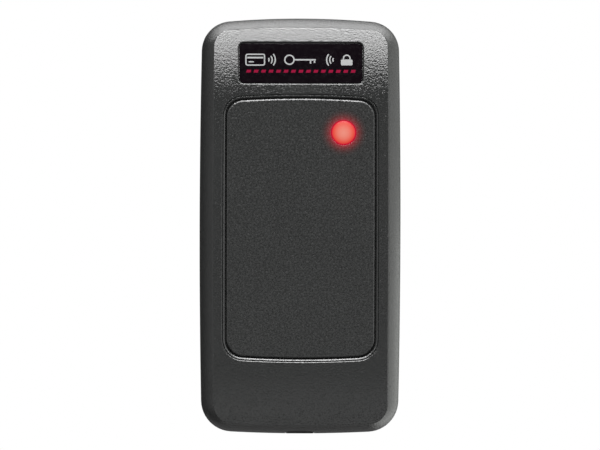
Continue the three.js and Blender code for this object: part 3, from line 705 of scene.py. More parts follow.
# radio waves from each side towards a key in the middle
for side in (-1, 1):
    for k in range(3):
        a0 = -40 if side < 0 else 140
        strokes.append((arc_path(side * 6.9, W0, 0.55 + 0.62 * k, a0, a0 + 80, 10 + 2 * k), SW, False))
strokes.append((circle(-2.3, W0, 0.92, 28), SW, True))
solids.append(rrect(4.2, 0.30, 0.05, 0.85, W0, n=(6, 2, 2)))
solids.append(rrect(0.30, 0.75, 0.05, 1.9, W0 - 0.40, n=(2, 2, 2)))
solids.append(rrect(0.30, 0.60, 0.05, 2.7, W0 - 0.34, n=(2, 2, 2)))
# a closed padlock
strokes.append((np.concatenate([[[8.45, W0 + 0.05]], arc_path(9.1, W0 + 0.30, 0.65, 180, 0, 14), [[9.75, W0 + 0.05]]]), SW, False))
solids.append(rrect(2.3, 1.2, 0.2, 9.1, W0 - 0.52, n=(6, 4, 3)))
print_piece("badge_print_silver", strokes, solids, M["silver"])
red = [np.array([(x - 0.52, -1.92), (x + 0.34, -1.92), (x + 0.52, -1.34), (x - 0.34, -1.34)]) for x in np.linspace(-10.4, 10.4, 15)]
print_piece("badge_print_red", [], red, M["red_print"])

# ------------------------------------------------------------------ lens
lens = lathe([(0, -11.2), (2.05, -11.2), (2.1, -11.25), (2.1, -11.55), (2.95, -11.55), (3.0, -11.6), (3.0, -12.15), (2.95, -12.2), (2.4, -12.2), (2.4, -13.90),
              (2.385, -13.99), (2.34, -14.08), (2.25, -14.165), (2.1, -14.24), (1.85, -14.315), (1.5, -14.39), (1.1, -14.45), (0.7, -14.49), (0.35, -14.505), (0, -14.51)], LED_X, LED_Z, 72)
piece("lens_dome", lens.mesh("lens_dome"), M["lens"], "cover", ["led_lens"], angle=50)

# ------------------------------------------------------------------ security screw with a cut thread
def screw_mesh():
    b = Build()
    n = 60

    def ringz(r, z, fn=None):
        a = np.arange(n) / n * 2 * math.pi
        rr = r if fn is None else fn(a)
        return b.ring(np.stack([rr * np.cos(a), SCREW_Y + rr * np.sin(a), np.full(n, z)], 1))

    def lobe(k):
        return lambda a: (1.06 + 0.19 * np.cos(6 * a)) * k

    rings = [ringz(0.3, -39.95), ringz(0.34, -40.0), ringz(0.36, -40.50), ringz(0.31, -40.56)]
    b.rings(rings)
    b.cap(rings[-1])
    # recess floor and wall, mouth, dished head, skirt, underside
    r2 = [rings[0], ringz(0, -39.95, lobe(0.97)), ringz(0, -39.98, lobe(1.0)), ringz(0, -40.6, lobe(1.0)), ringz(0, -40.665, lobe(1.06)), ringz(1.5, -40.655),
          ringz(1.9, -40.60), ringz(2.25, -40.49), ringz(2.5, -40.32), ringz(2.66, -40.12), ringz(2.74, -39.9), ringz(2.75, -39.65), ringz(2.72, -39.42), ringz(2.62, -39.36), ringz(1.46, -39.35), ringz(1.42, -39.2)]
    b.rings(r2)
    # thread: crest and root wound on the shank
    pitch, z0, z1 = 0.5, -39.0, -34.1
    turns = int((z1 - z0) / pitch * 8)
    last = r2[-1]
    for i in range(turns + 1):
        z = z0 + (z1 - z0) * i / turns
        edge = min(1, (i / 8) / 1.2, ((turns - i) / 8) / 1.2)

        def rad(a, z=z, edge=edge):
            ph = ((z / pitch - a / (2 * math.pi)) % 1.0)
            tri = 1 - 2 * np.abs(ph - 0.5)
            return 1.20 + 0.25 * np.clip(tri * 1.25 - 0.1, 0, 1) * edge + 0.10 * (1 - edge)

        cur = ringz(0, z, rad)
        b.bridge(last, cur)
        last = cur
    tip = [last, ringz(1.2, -33.95), ringz(1.0, -33.7), ringz(0.8, -33.62)]
    b.rings(tip)
    b.cap(tip[-1])
    return b.mesh("security_screw")


piece("security_screw", screw_mesh(), M["steel"], "screw", ["cover_screw"], angle=38)

# ------------------------------------------------------------------ gasket, grommet
GASKET = dict(hw=17.4, top=38.2, bot=-38.13, rT=3.8, rB=4.0, sb=0.4, eT=0.8, eB=0.65)
gas = slab(lambda d: bowed(GASKET, d, (12, 10, 30)),
           [lambda d: circle(0, 33, 3.2 + d, 40), lambda d: circle(0, -29, 3.2 + d, 40), lambda d: circle(0, 11.5, 6.2 + d, 56), lambda d: circle(-9.5, -13, 2.2 + d, 32)],
           0.0, -0.95, 0.12, 0.0)
gas = boolean(gas.mesh("gasket"), block(-5.3, 5.3, 1, -3, -42, -37.1, 0.3), "DIFFERENCE")
piece("gasket_foam", gas, M["foam"], "base", ["wall_gasket"], angle=40)
grom = lathe([(3.2, -0.4), (3.26, -0.3), (3.4, -0.25), (5.3, -0.25), (5.55, -0.35), (5.7, -0.55), (5.7, -0.85), (5.65, -0.9), (4.6, -0.9), (4.6, -2.9), (5.45, -2.9), (5.5, -2.95), (5.5, -3.35), (5.3, -3.65), (5.0, -3.88), (3.4, -3.9), (3.25, -3.85), (3.2, -3.75), (3.2, -0.4)], 0, 11.5, 64)
piece("grommet_ring", grom.mesh("grommet_ring"), M["rubber"], "base", ["cable_grommet"], angle=45)

# ------------------------------------------------------------------ tools for the inner pieces
def rr(w, h, r, x=0.0, z=0.0, n=(2, 5, 2)):
    return lambda d: rrect(w + 2 * d, h + 2 * d, max(r + d, 0.02), x, z, n=n)


def stack(name, fn, prof):
    """Closed body through the outline fn(d) at each (d, y)."""
    b = Build()
    rings = [b.flat(fn(d), y) for d, y in prof]
    b.rings(rings)
    b.fill(rings[0])
    b.fill(rings[-1])
    return b.mesh(name)


def rod_z(name, prof, x, y, n=40):
    """Turned body along z through x, y: prof is (radius, z), closed by flat ends."""
    b = Build()
    a = np.arange(n) / n * 2 * math.pi
    rings = []
    for r, z in prof:
        rad = r(a) if callable(r) else np.full(n, r)
        rings.append(b.ring(np.stack([x + rad * np.cos(a), y + rad * np.sin(a), np.full(n, z)], 1)))
    b.rings(rings)
    b.cap(rings[0])
    b.cap(rings[-1])
    return b.mesh(name)


def ring_z(name, prof, x, y, n=72):
    """Turned ring along z: prof is (radius, z) and closes on itself."""
    b = Build()
    a = np.arange(n) / n * 2 * math.pi
    rings = []
    for r, z in prof:
        rad = r(a) if callable(r) else np.full(n, r)
        rings.append(b.ring(np.stack([x + rad * np.cos(a), y + rad * np.sin(a), np.full(n, z)], 1)))
    b.rings(rings + [rings[0]])
    return b.mesh(name)


def tube(b, path, r, n=8):
    """Round wire along a path of points, with closed ends."""
    P = np.asarray(path, float)
    T = np.gradient(P, axis=0)
    T /= np.linalg.norm(T, axis=1)[:, None]
    up = np.array([1.0, 0, 0]) if abs(T[0][0]) < 0.9 else np.array([0, 1.0, 0])
    rings = []
    for p, t in zip(P, T):
        u = np.cross(t, up)
        u /= np.linalg.norm(u)
        v = np.cross(t, u)
        a = np.arange(n) / n * 2 * math.pi
        rings.append(b.ring(p + r * (np.cos(a)[:, None] * u + np.sin(a)[:, None] * v)))
    b.rings(rings)
    b.cap(rings[0])
    b.cap(rings[-1])


def gull(b, x, z, ux, uz, w, ym, out=0.72, y_foot=-8.33):
    """Bent lead leaving a package side at x, z in the direction ux, uz."""
    sec = [(-0.08, ym), (0.20, ym), (0.26, ym + 0.05), (0.36, y_foot - 0.17), (0.42, y_foot - 0.13), (out, y_foot - 0.13), (out, y_foot),
           (0.32, y_foot), (0.26, y_foot - 0.05), (0.15, ym + 0.17), (0.10, ym + 0.13), (-0.08, ym + 0.13)]
    r0 = b.ring([(x + ux * s - uz * w / 2, y, z + uz * s + ux * w / 2) for s, y in sec])
    r1 = b.ring([(x + ux * s + uz * w / 2, y, z + uz * s - ux * w / 2) for s, y in sec])
    b.bridge(r0, r1)
    b.cap(r0)
    b.cap(r1)


def flat_marks(name, strokes, solids, y0, y1, mat_):
    """Thin marks lying on the board: strokes are (path, width, closed), solids are closed outlines."""
    b = Build()
    for path, w, closed in strokes:
        a, c = ribbon(path, w, closed)
        A0, A1, C0, C1 = b.flat(a, y0), b.flat(a, y1), b.flat(c, y0), b.flat(c, y1)
        b.bridge(A0, C0, closed)
        b.bridge(A1, C1, closed)
        b.bridge(A0, A1, closed)
        b.bridge(C0, C1, closed)
        if not closed:
            b.f.append((A0[0], C0[0], C1[0], A1[0]))
            b.f.append((A0[-1], C0[-1], C1[-1], A1[-1]))
    for o in solids:
        A0, A1 = b.flat(o, y0), b.flat(o, y1)
        b.bridge(A0, A1)
        b.cap(A0)
        b.cap(A1)
    return piece(name, b.mesh(name), mat_, "base", angle=30)


def soften(me, width=0.1, segments=2, angle=40):
    """Rounds the sharp edges of a mesh."""
    bm = bmesh.new()
    bm.from_mesh(me)
    bmesh.ops.dissolve_limit(bm, angle_limit=math.radians(1), verts=bm.verts, edges=bm.edges)
    edges = [e for e in bm.edges if len(e.link_faces) == 2 and e.calc_face_angle(0) > math.radians(angle)]
    bmesh.ops.bevel(bm, geom=edges, offset=width * MM, segments=segments, affect="EDGES", clamp_overlap=True, profile=0.5)
    bm.to_mesh(me)
    bm.free()
    return me


POSTS = [(-12.6, 25.9), (12.6, 25.9), (-12.6, -22.6), (12.6, -22.6)]

# ------------------------------------------------------------------ back plate
BASE = dict(hw=18.05, top=39.0, bot=-39.0, rT=4.2, rB=4.5, sb=0.42, eT=0.85, eB=0.68)


def plate_mesh():
    b = Build()
    n = (12, 10, 40)
    prof = [(-0.15, -1.0), (-0.04, -1.04), (0, -1.15), (0, -4.15), (-0.06, -4.29), (-0.2, -4.35), (-1.0, -4.35), (-1.14, -4.29), (-1.2, -4.15), (-1.2, -3.1), (-1.29, -2.89), (-1.5, -2.8)]
    o = [b.flat(bowed(BASE, d, n), y) for d, y in prof]
    b.rings(o)
    holes = []
    for x, z, wall in ((0, 33, ((2.3, -1.0), (2.15, -1.12), (2.15, -1.9), (3.56, -2.78), (3.62, -2.8))), (0, -29, ((2.3, -1.0), (2.15, -1.12), (2.15, -1.9), (3.56, -2.78), (3.62, -2.8))),
                       (0, 11.5, ((4.85, -1.0), (4.75, -1.1), (4.75, -2.7), (4.85, -2.8))), (-9.5, -13, ((1.55, -1.0), (1.4, -1.12), (1.4, -2.7), (1.5, -2.8)))):
        rs = [b.flat(circle(x, z, r, 48), y) for r, y in wall]
        b.rings(rs)
        holes.append(rs)
    b.fill(o[0], [h[0] for h in holes], y=-1.0)
    b.fill(o[-1], [h[-1] for h in holes], y=-2.8)
    return b.mesh("back_plate_mesh")


base = boolean(plate_mesh(), block(-5.3, 5.3, 1, -12, -42, -37.1, 0.3), "DIFFERENCE", "MANIFOLD")
for tool in (block(-3.7, 3.7, -2.6, -9.2, -37.0, -33.0, 0.5), block(-1.5, 1.5, -1.02, -2.6, -39.4, -36.8, 0.1), block(-2.85, 2.85, -0.6, -2.6, -41.45, -39.1, 0.3),
             block(-16.3, 16.3, -2.6, -3.7, 25.4, 26.4, 0.2), block(-16.3, 16.3, -2.6, -3.7, -23.1, -22.1, 0.2),
             block(-12.0, -7.0, -1.8, -3.0, 37.5, 40.15, 0.25), block(7.0, 12.0, -1.8, -3.0, 37.5, 40.15, 0.25),
             block(-0.45, 0.45, -2.6, -7.4, -33.5, -31.6, 0.1)):
    base = boolean(base, tool, "UNION", "MANIFOLD")
base = boolean(base, rod_z("bore", [(2.45, -38.0), (2.45, -33.1)], 0, SCREW_Y, 40), "DIFFERENCE", "MANIFOLD")
for x, z in POSTS:
    post = lathe([(0, -2.6), (2.75, -2.6), (2.7, -2.85), (2.42, -3.02), (2.26, -3.3), (2.2, -3.75), (2.2, -6.92), (2.12, -7.02), (1.15, -7.02), (1.05, -6.9), (1.05, -3.2), (0, -3.2)], x, z, 32)
    base = boolean(base, post.mesh("post"), "UNION", "MANIFOLD")
piece("back_plate_tray", base, M["base"], "base", ["back_plate"], angle=32)

# ------------------------------------------------------------------ threaded insert and nylon washer
knurl = lambda r: (lambda a: r - 0.10 * (np.arange(len(a)) % 2))
thread = lambda z: (lambda a: 1.52 + 0.08 * np.abs(((z / 0.5 - a / (2 * math.pi)) % 1.0) - 0.5) * 2)
prof = [(1.75, -36.98), (2.12, -36.98), (2.2, -36.9), (knurl(2.3), -36.75), (knurl(2.3), -35.6), (2.08, -35.48), (2.05, -35.4), (2.05, -34.95), (2.08, -34.87), (knurl(2.3), -34.75), (knurl(2.3), -33.6), (2.15, -33.45), (2.05, -33.42), (1.75, -33.42)]
prof += [(thread(z), z) for z in np.linspace(-33.6, -36.8, 50)]
piece("insert_knurled", ring_z("insert_knurled", prof, 0, SCREW_Y, 72), M["brass"], "base", ["threaded_insert"], angle=25)
piece("washer_ring", ring_z("washer_ring", [(1.62, -39.26), (1.68, -39.3), (2.6, -39.3), (2.67, -39.27), (2.7, -39.2), (2.7, -39.05), (2.67, -38.98), (2.6, -38.95), (1.68, -38.95), (1.62, -38.99)], 0, SCREW_Y, 56), M["nylon"], "screw_carrier", ["screw_washer"], angle=50)

# ------------------------------------------------------------------ circuit board, its tracks, pads and white outlines
brd = slab(rr(30.4, 53.2, 1.2, 0, 1.6, n=(6, 6, 4)), [lambda d, p=p: circle(p[0], p[1], 1.15 - d, 32) for p in POSTS], -7.06, -8.3, 0.06, 0.06)
piece("board_laminate", brd.mesh("board_laminate"), M["pcb"], "base", ["circuit_board"], angle=40)
M["track"] = material("green_track", (0.013, 0.092, 0.031), 0.34, grain=(0.5, 0.004, 0.3), tone=0.12, coat=0.25)
M["silk"] = material("white_outline", (0.36, 0.36, 0.34), 0.6, grain=(0.15, 0.003, 0.3), tone=0.08)
M["solder"] = material("solder", (0.62, 0.62, 0.60), 0.30, metal=1, grain=(0.25, 0.006, 0.5), tone=0.12, rough_var=0.12)
tr = []
for i in range(8):
    z = 11.5 - 4.445 + 1.27 * i
    tr.append(([(-2.3, z), (-1.4, z), (-0.6, 7.9 + 0.42 * i), (-0.6 + 0.1 * i, 7.4), (0.4 + 0.8 * i, 7.2)][:4 if i % 2 else 3], 0.22, False))
    tr.append(([(-7.7, z), (-8.6, z), (-9.3 - 0.12 * i, z + 0.6), (-9.3 - 0.12 * i, 16.2 if i > 4 else z + 1.5)], 0.22, False))
for i in range(8):
    s = -2.8 + 0.8 * i
    tr.append(([(8.0, 3.2 + s), (8.9, 3.2 + s), (9.6 + 0.1 * i, 3.9 + s), (9.6 + 0.1 * i, 5.2 + s)], 0.2, False))
    tr.append(([(3.6 + s, -1.3), (3.6 + s, -2.2), (3.0 + s * 0.8, -2.9), (3.0 + s * 0.8, -3.9 - 0.25 * i)], 0.2, False))
    tr.append(([(-0.8, 3.2 + s), (-1.6, 3.2 + s), (-2.2, 2.8 + s * 0.9)], 0.2, False))
for i in range(5):
    tr.append(([(-5 + 2.5 * i, 19.4), (-5 + 2.5 * i, 17.8 - 0.3 * i), (-4.4 + 2.2 * i, 17.2 - 0.3 * i)], 0.45, False))
tr += [(rr_path(22.0, 38.0, 1.4, 0, 1.7), 0.5, True), ([(11.5, -8), (8.6, -8), (8.2, -6.6)], 0.6, False), ([(-10.8, -8), (-7.5, -8), (-6.6, -6.2)], 0.6, False)]
flat_marks("board_tracks", tr, [], -8.28, -8.325, M["track"])
outl = [(rr_path(8.8, 8.8, 0.2, 3.6, 3.2), 0.14, True), (rr_path(3.4, 10.6, 0.2, -5, 11.5), 0.14, True), (rr_path(7.2, 6.6, 0.2, -6.6, -3.4), 0.14, True), (rr_path(6.2, 5.8, 0.6, 4.2, 11.6), 0.14, True),
        (rr_path(6.0, 3.8, 0.2, 8.2, -4.8), 0.14, True), (rr_path(4.0, 6.2, 0.2, -9.2, 17.4), 0.14, True), (rr_path(5.4, 6.2, 1.8, -5, 3.2), 0.14, True), (circle(0, -10.9, 6.5, 56), 0.14, True)]
flat_marks("board_outlines", outl, [circle(8.5, 7.9, 0.22, 16), circle(-7.2, 17.3, 0.22, 16)], -8.29, -8.335, M["silk"])
pads = []
for x, z, r in ((-10.9, 6.5, 0.45), (-10.9, 4.3, 0.45), (-10.9, 2.1, 0.45), (10.9, 12.5, 0.45), (10.9, 14.5, 0.45), (9.9, -9.0, 0.4), (-2.2, 17.0, 0.28), (1.2, 16.2, 0.28), (7.6, 9.0, 0.28), (-1.6, -1.6, 0.28), (9.0, 0.2, 0.28), (-9.8, -6.5, 0.28), (6.4, -9.6, 0.28), (-7.6, 7.4, 0.28)):
    pads.append(circle(x, z, r, 20))
pads += [rrect(1.6, 0.9, 0.1, x, z, n=(2, 3, 2)) for x, z in ((4.9, -8.6), (-8.6, 9.9 - 19.5), (10.3, 5.4), (-10.6, 13.0))]
for x, z in POSTS:
    pads.append(None)
rings_ = [(circle(x, z, 1.62, 32), 0.75, True) for x, z in POSTS]
flat_marks("board_pads", rings_, [p for p in pads if p is not None], -8.285, -8.34, M["solder"])
rear = [(rr_path(27.0, 49.6, 1.0, 0, 1.6), 0.35, True), ([(10.6, -12.6), (10.6, -16.0), (6.0, -19.6), (-6.0, -19.6)], 0.6, False), ([(-9.5, -17.3), (-9.5, -18.4), (-7.4, -20.8), (4.0, -20.8)], 0.4, False)]
for i in range(5):
    x = -5 + 2.5 * i
    rear.append(([(x, 17.4), (x, 15.6 - 0.5 * abs(i - 2)), (x * 0.6, 14.0 - 0.5 * abs(i - 2)), (x * 0.6, 4.0 - 1.1 * i)], 0.35, False))
for i in range(6):
    rear.append(([(-11.5 + 0.7 * i, 12.5 - 0.8 * i), (-11.5 + 0.7 * i, 2.0 + 0.5 * i), (-9.0 + 0.9 * i, -0.5 + 0.5 * i), (-9.0 + 0.9 * i, -6.5 - 0.35 * i)], 0.22, False))
    rear.append(([(2.4 + 0.55 * i, -1.8 - 0.3 * i), (4.4 + 0.55 * i, -3.8 - 0.3 * i), (4.4 + 0.55 * i, -14.2 - 0.45 * i)], 0.22, False))
flat_marks("board_rear_tracks", rear, [], -7.08, -7.036, M["track"])
flat_marks("board_rear_outlines", [(rr_path(13.6, 6.4, 0.2, 0, 20.8), 0.14, True), (rr_path(7.2, 7.2, 0.3, -9.5, -13), 0.14, True), (rr_path(4.8, 9.2, 0.3, 10.6, -7.4), 0.14, True)], [], -7.07, -7.03, M["silk"])
dots = [circle(x, z, q, 18) for x, z, q in ((-7.7, -1.2, 0.45), (-5.4, -1.2, 0.45), (7.5, 6.0, 0.4), (9.4, 6.0, 0.4), (-3.0, -10.9, 0.6), (3.0, -10.9, 0.6), (-3.2, -17.3, 0.45), (-2.2, -17.3, 0.45), (6.6, 12.6, 0.3), (-1.6, -6.6, 0.3), (1.4, -7.4, 0.3), (8.3, 1.0, 0.3), (-10.9, -18.0, 0.4), (11.3, 18.5, 0.4), (11.3, 15.5, 0.4))]
flat_marks("board_rear_pads", [(circle(x, z, 2.62, 36), 0.5, True) for x, z in POSTS], dots, -7.075, -7.025, M["solder"])
# small chip resistors and capacitors
for k, (x, z, a) in enumerate(((-1.0, 14.6, 0), (0.8, 14.0, 1), (7.9, 15.2, 0), (-1.9, 0.2, 1), (8.6, -1.2, 0), (-9.9, -0.8, 1), (-2.2, -2.6, 0), (6.9, -8.4, 1))):
    w, h = (2.0, 1.25) if a == 0 else (1.25, 2.0)
    mid = (1.2, 1.25) if a == 0 else (1.25, 1.2)
    ends = stack("chip_ends_%d" % (k + 1), rr(w, h, 0.08, x, z, n=(2, 2, 2)), [(-0.03, -8.33), (0, -8.36), (0, -8.78), (-0.05, -8.83)])
    piece("chip_ends_%d" % (k + 1), ends, M["solder"], "base", angle=40)
    body = stack("chip_body_%d" % (k + 1), rr(mid[0], mid[1] + 0.0, 0.05, x, z, n=(2, 2, 2)), [(0.01, -8.4), (0.015, -8.45), (0.015, -8.84), (-0.03, -8.87)])
    piece("chip_body_%d" % (k + 1), body, M["chip"] if k % 2 else M["ochre"], "base", angle=40)

# ------------------------------------------------------------------ board screws
for i, (x, z) in enumerate(POSTS):
    scr = lathe([(0, -3.6), (0.45, -3.65), (0.72, -3.9), (0.95, -4.3), (0.95, -8.33), (1.82, -8.35), (1.9, -8.42), (1.9, -8.85), (1.86, -9.1), (1.72, -9.34), (1.48, -9.54), (1.15, -9.67), (0.7, -9.74), (0, -9.75)], x, z, 36).mesh("screw")
    ang = 0.35 + 0.6 * i
    for k in range(2):
        t = ang + k * math.pi / 2
        c, s_ = math.cos(t), math.sin(t)
        bb = Build()
        lo = bb.flat(np.array([(x + c * u - s_ * v, z + s_ * u + c * v) for u, v in ((-0.75, -0.14), (0.75, -0.14), (0.75, 0.14), (-0.75, 0.14))]), -9.0)
        hi = bb.flat(np.array([(x + c * u - s_ * v, z + s_ * u + c * v) for u, v in ((-1.15, -0.22), (1.15, -0.22), (1.15, 0.22), (-1.15, 0.22))]), -10.0)
        bb.bridge(lo, hi)
        bb.cap(lo)
        bb.cap(hi)
        scr = boolean(scr, bb.mesh("cross"), "DIFFERENCE")
    piece("pan_head_screw_%d" % (i + 1), scr, M["zinc"], "base", ["board_screw_%d" % (i + 1)], angle=32)

# ------------------------------------------------------------------ coil former and winding
FW, FZ0, FZ1, FR = 27.8, -20.2, 23.6, 3.4
former = rr(FW, FZ1 - FZ0, FR, 0, (FZ0 + FZ1) / 2, n=(14, 9, 8))
b = Build()
prof = [(-2.55, -8.4), (-0.05, -8.4), (0, -8.45), (0, -8.75), (-0.05, -8.8), (-1.7, -8.8), (-1.75, -8.85), (-1.75, -10.45), (-1.7, -10.5), (-0.05, -10.5), (0, -10.55), (0, -10.82), (-0.08, -10.9), (-2.5, -10.9), (-2.6, -10.82), (-2.6, -8.45)]
rings = [b.flat(former(d), y) for d, y in prof]
b.rings(rings + [rings[0]])
piece("former_bobbin", b.mesh("former_bobbin"), M["former"], "base", ["coil_former"], angle=40)
b = Build()
for j in range(4):
    for i in range(5):
        mid = former(-0.52 - 0.325 * j)
        nrm = former(-0.42 - 0.325 * j) - mid
        nrm /= np.linalg.norm(nrm, axis=1)[:, None]
        y = -9.05 - 0.30 * i
        a = np.arange(8) / 8 * 2 * math.pi + 0.2
        rings = [b.flat(mid + nrm * 0.146 * math.cos(t), y + 0.146 * math.sin(t)) for t in a]
        b.rings(rings + [rings[0]])
piece("coil_turns", b.mesh("coil_turns"), M["copper"], "base", ["antenna_coil"], angle=60)
b = Build()
for x in (-3.2, -2.2):
    tube(b, [(x, -9.2, -18.4), (x, -9.15, -17.9), (x, -8.95, -17.5), (x, -8.7, -17.35), (x, -8.5, -17.3), (x, -8.3, -17.3)], 0.15)
piece("coil_leads", b.mesh("coil_leads"), M["copper"], "base", angle=60)

# ------------------------------------------------------------------ packages on the front of the board
def package(name, node, x, z, w, h, t, r, mat_, edge=0.12):
    me = stack(name, rr(w, h, r, x, z), [(-0.16, -8.42), (-0.12, -8.46), (0, -8.42 - t * 0.5), (0, -8.42 - t * 0.5 - 0.12), (-edge * 0.6, -8.42 - t + edge), (-edge, -8.42 - t + edge * 0.3), (-edge * 1.8, -8.42 - t)])
    return piece(name, me, mat_, "base", [node], angle=38)


package("microcontroller_body", "microcontroller", 3.6, 3.2, 7, 7, 1.2, 0.3, M["chip"])
b = Build()
for i in range(8):
    s = -2.8 + 0.8 * i
    gull(b, 7.1, 3.2 + s, 1, 0, 0.32, -9.0)
    gull(b, 0.1, 3.2 + s, -1, 0, 0.32, -9.0)
    gull(b, 3.6 + s, 6.7, 0, 1, 0.32, -9.0)
    gull(b, 3.6 + s, -0.3, 0, -1, 0.32, -9.0)
for i in range(8):
    z = 11.5 - 4.445 + 1.27 * i
    gull(b, -3.05, z, 1, 0, 0.42, -9.15, out=0.8)
    gull(b, -6.95, z, -1, 0, 0.42, -9.15, out=0.8)
for s in (-2.3, 0, 2.3):
    gull(b, -6.6 + s, -5.1, 0, -1, 0.7, -9.2, out=1.0)
gull(b, -6.6, -1.7, 0, 1, 3.0, -9.2, out=1.0)
for z, u in ((19.6, 1), (15.2, -1)):
    gull(b, -9.2, z, 0, u, 2.0, -9.3, out=0.8)
for x, u in ((10.5, 1), (5.9, -1)):
    gull(b, x, -4.8, u, 0, 2.2, -9.4, out=0.5)
for x, u in ((6.7, 1), (1.7, -1)):
    gull(b, x, 11.6, u, 0, 1.6, -9.0, out=0.5)
piece("package_leads", b.mesh("package_leads"), M["tin"], "base", angle=35)
package("rf_front_end_body", "rf_front_end", -5, 11.5, 3.9, 9.9, 1.5, 0.2, M["chip"], 0.16)
package("regulator_body", "voltage_regulator", -6.6, -3.4, 6.4, 3.4, 1.6, 0.2, M["chip"], 0.16)
package("suppressor_body", "surge_suppressor", -9.2, 17.4, 3.4, 4.4, 2.0, 0.2, M["chip"], 0.16)
package("capacitor_body", "tuning_capacitor", 8.2, -4.8, 4.6, 3.2, 2.4, 0.2, M["ochre"], 0.18)
piece("capacitor_band", stack("capacitor_band", rr(0.7, 2.75, 0.05, 6.65, -4.8), [(-0.02, -10.75), (0, -10.8), (0, -10.83), (-0.01, -10.835)]), M["silk"], "base", angle=40)
b = Build()
fn = rr(5, 5, 0.9, 4.2, 11.6, n=(2, 6, 2))
rings = [b.flat(fn(d), y) for d, y in ((-0.1, -8.42), (0, -8.5), (0, -10.3), (-0.08, -10.5), (-0.28, -10.6))]
b.rings(rings)
b.fill(rings[0])
well = [b.flat(circle(4.2, 11.6, r, 40), y) for r, y in ((2.02, -10.6), (1.95, -10.55), (1.95, -10.2), (1.75, -10.15), (1.7, -10.2), (1.7, -10.52), (1.62, -10.6))]
b.fill(rings[-1], [well[0]])
b.rings(well)
b.fill(well[-1])
piece("inductor_core", b.mesh("inductor_core"), M["ferrite"], "base", ["power_inductor"], angle=40)
can = stack("crystal_shell", rr(4.6, 5.4, 1.6, -5, 3.2, n=(3, 9, 2)), [(-0.05, -8.42), (0, -8.47), (0, -8.6), (-0.05, -8.65), (-0.2, -8.67), (-0.24, -8.72), (-0.24, -10.66), (-0.29, -10.84), (-0.42, -10.96), (-0.62, -11.02), (-1.0, -11.02)])
piece("crystal_shell", can, M["can"], "base", ["quartz_crystal"], angle=50)
b = Build()
fn = rr(3.4, 2.8, 0.2, LED_X, LED_Z)
rings = [b.flat(fn(d), y) for d, y in ((-0.08, -8.42), (0, -8.5), (0, -10.04), (-0.08, -10.12))]
b.rings(rings)
b.fill(rings[0])
cup = [b.flat(circle(LED_X, LED_Z, r, 32), y) for r, y in ((1.2, -10.12), (1.15, -10.07), (0.85, -9.55), (0.78, -9.5))]
b.fill(rings[-1], [cup[0]])
b.rings(cup)
b.fill(cup[-1])
piece("led_package_body", b.mesh("led_package_body"), M["white_pkg"], "base", ["status_led"], angle=40)

# ------------------------------------------------------------------ sounder
case = lathe([(5.5, -8.45), (6.1, -8.45), (6.2, -8.55), (6.2, -11.3), (6.15, -11.45), (6.03, -11.56), (5.85, -11.6), (3.2, -11.6), (3.1, -11.5), (2.95, -11.5), (2.85, -11.6), (1.2, -11.6), (1.05, -11.55), (1.0, -11.45), (1.0, -10.9), (5.4, -10.9), (5.5, -10.8), (5.5, -8.45)], 0, -10.9, 72)
piece("sounder_housing", case.mesh("sounder_housing"), M["chip"], "base", ["sounder_case"], angle=40)
piece("sounder_diaphragm", lathe([(0, -9.4), (5.25, -9.4), (5.3, -9.45), (5.3, -9.6), (5.25, -9.65), (3.5, -9.65), (3.45, -9.74), (0, -9.75)], 0, -10.9, 56).mesh("sounder_diaphragm"), M["disc"], "base", ["sounder_disc"], angle=40)

# ------------------------------------------------------------------ rear of the board: header, pins, capacitor, tamper switch
hd = boolean(block(-6.4, 6.4, -3.1, -7.04, 18.2, 23.6, 0.25), block(-5.8, 5.8, -2.5, -6.1, 17.0, 22.8, 0.0), "DIFFERENCE")
for x in (-3.1, 3.1):
    hd = boolean(hd, block(x - 0.7, x + 0.7, -2.9, -4.0, 22.0, 24.0, 0.0), "DIFFERENCE")
piece("header_shroud", soften(hd, 0.09), M["ivory"], "base", ["cable_header"], angle=32)
for i in range(5):
    x = -5 + 2.5 * i
    b = Build()
    rings = []
    for hw, z in ((0.14, 18.6), (0.18, 18.62), (0.30, 18.95), (0.32, 19.05), (0.32, 22.7), (0.28, 22.75)):
        rings.append(b.ring([(x + sx * hw, -4.67 + sy * hw, z) for sx, sy in ((-1, -0.8), (-0.8, -1), (0.8, -1), (1, -0.8), (1, 0.8), (0.8, 1), (-0.8, 1), (-1, 0.8))]))
    b.rings(rings)
    b.cap(rings[0])
    b.cap(rings[-1])
    piece("contact_pin_%d" % (i + 1), b.mesh("contact_pin"), M["tin"], "base", ["header_pin_%d" % (i + 1)], angle=40)
b = Build()
for i in range(5):
    x = -5 + 2.5 * i
    r0 = [b.flat(circle(x, 20.3, r, 20), y) for r, y in ((0.75, -8.31), (0.72, -8.36), (0.55, -8.44), (0.42, -8.58), (0.36, -8.75), (0.3, -8.85), (0.15, -8.88))]
    b.rings(r0)
    b.cap(r0[0])
    b.cap(r0[-1])
piece("header_joints", b.mesh("header_joints"), M["solder"], "base", angle=50)
sleeve = rod_z("capacitor_sleeve", [(1.3, -10.7), (1.75, -10.7), (1.88, -10.62), (1.94, -10.45), (1.94, -10.1), (1.84, -9.98), (1.8, -9.88), (1.84, -9.78), (1.94, -9.66), (1.95, -9.5), (1.95, -3.62), (1.92, -3.45), (1.8, -3.34), (1.62, -3.32), (1.60, -3.36)], 10.6, -5.1, 48)
piece("capacitor_sleeve", sleeve, M["sleeve"], "base", ["electrolytic_capacitor"], angle=45)
top = rod_z("capacitor_top", [(1.5, -3.5), (1.61, -3.45), (1.61, -3.35), (1.55, -3.31), (1.5, -3.30)], 10.6, -5.1, 40)
for ax in (0, 1):
    top = boolean(top, block(10.6 - (1.1 if ax else 0.09), 10.6 + (1.1 if ax else 0.09), -5.1 + (0.09 if ax else 1.1), -5.1 - (0.09 if ax else 1.1), -3.36, -3.2, 0.0), "DIFFERENCE")
piece("capacitor_top", top, M["can"], "base", angle=30)
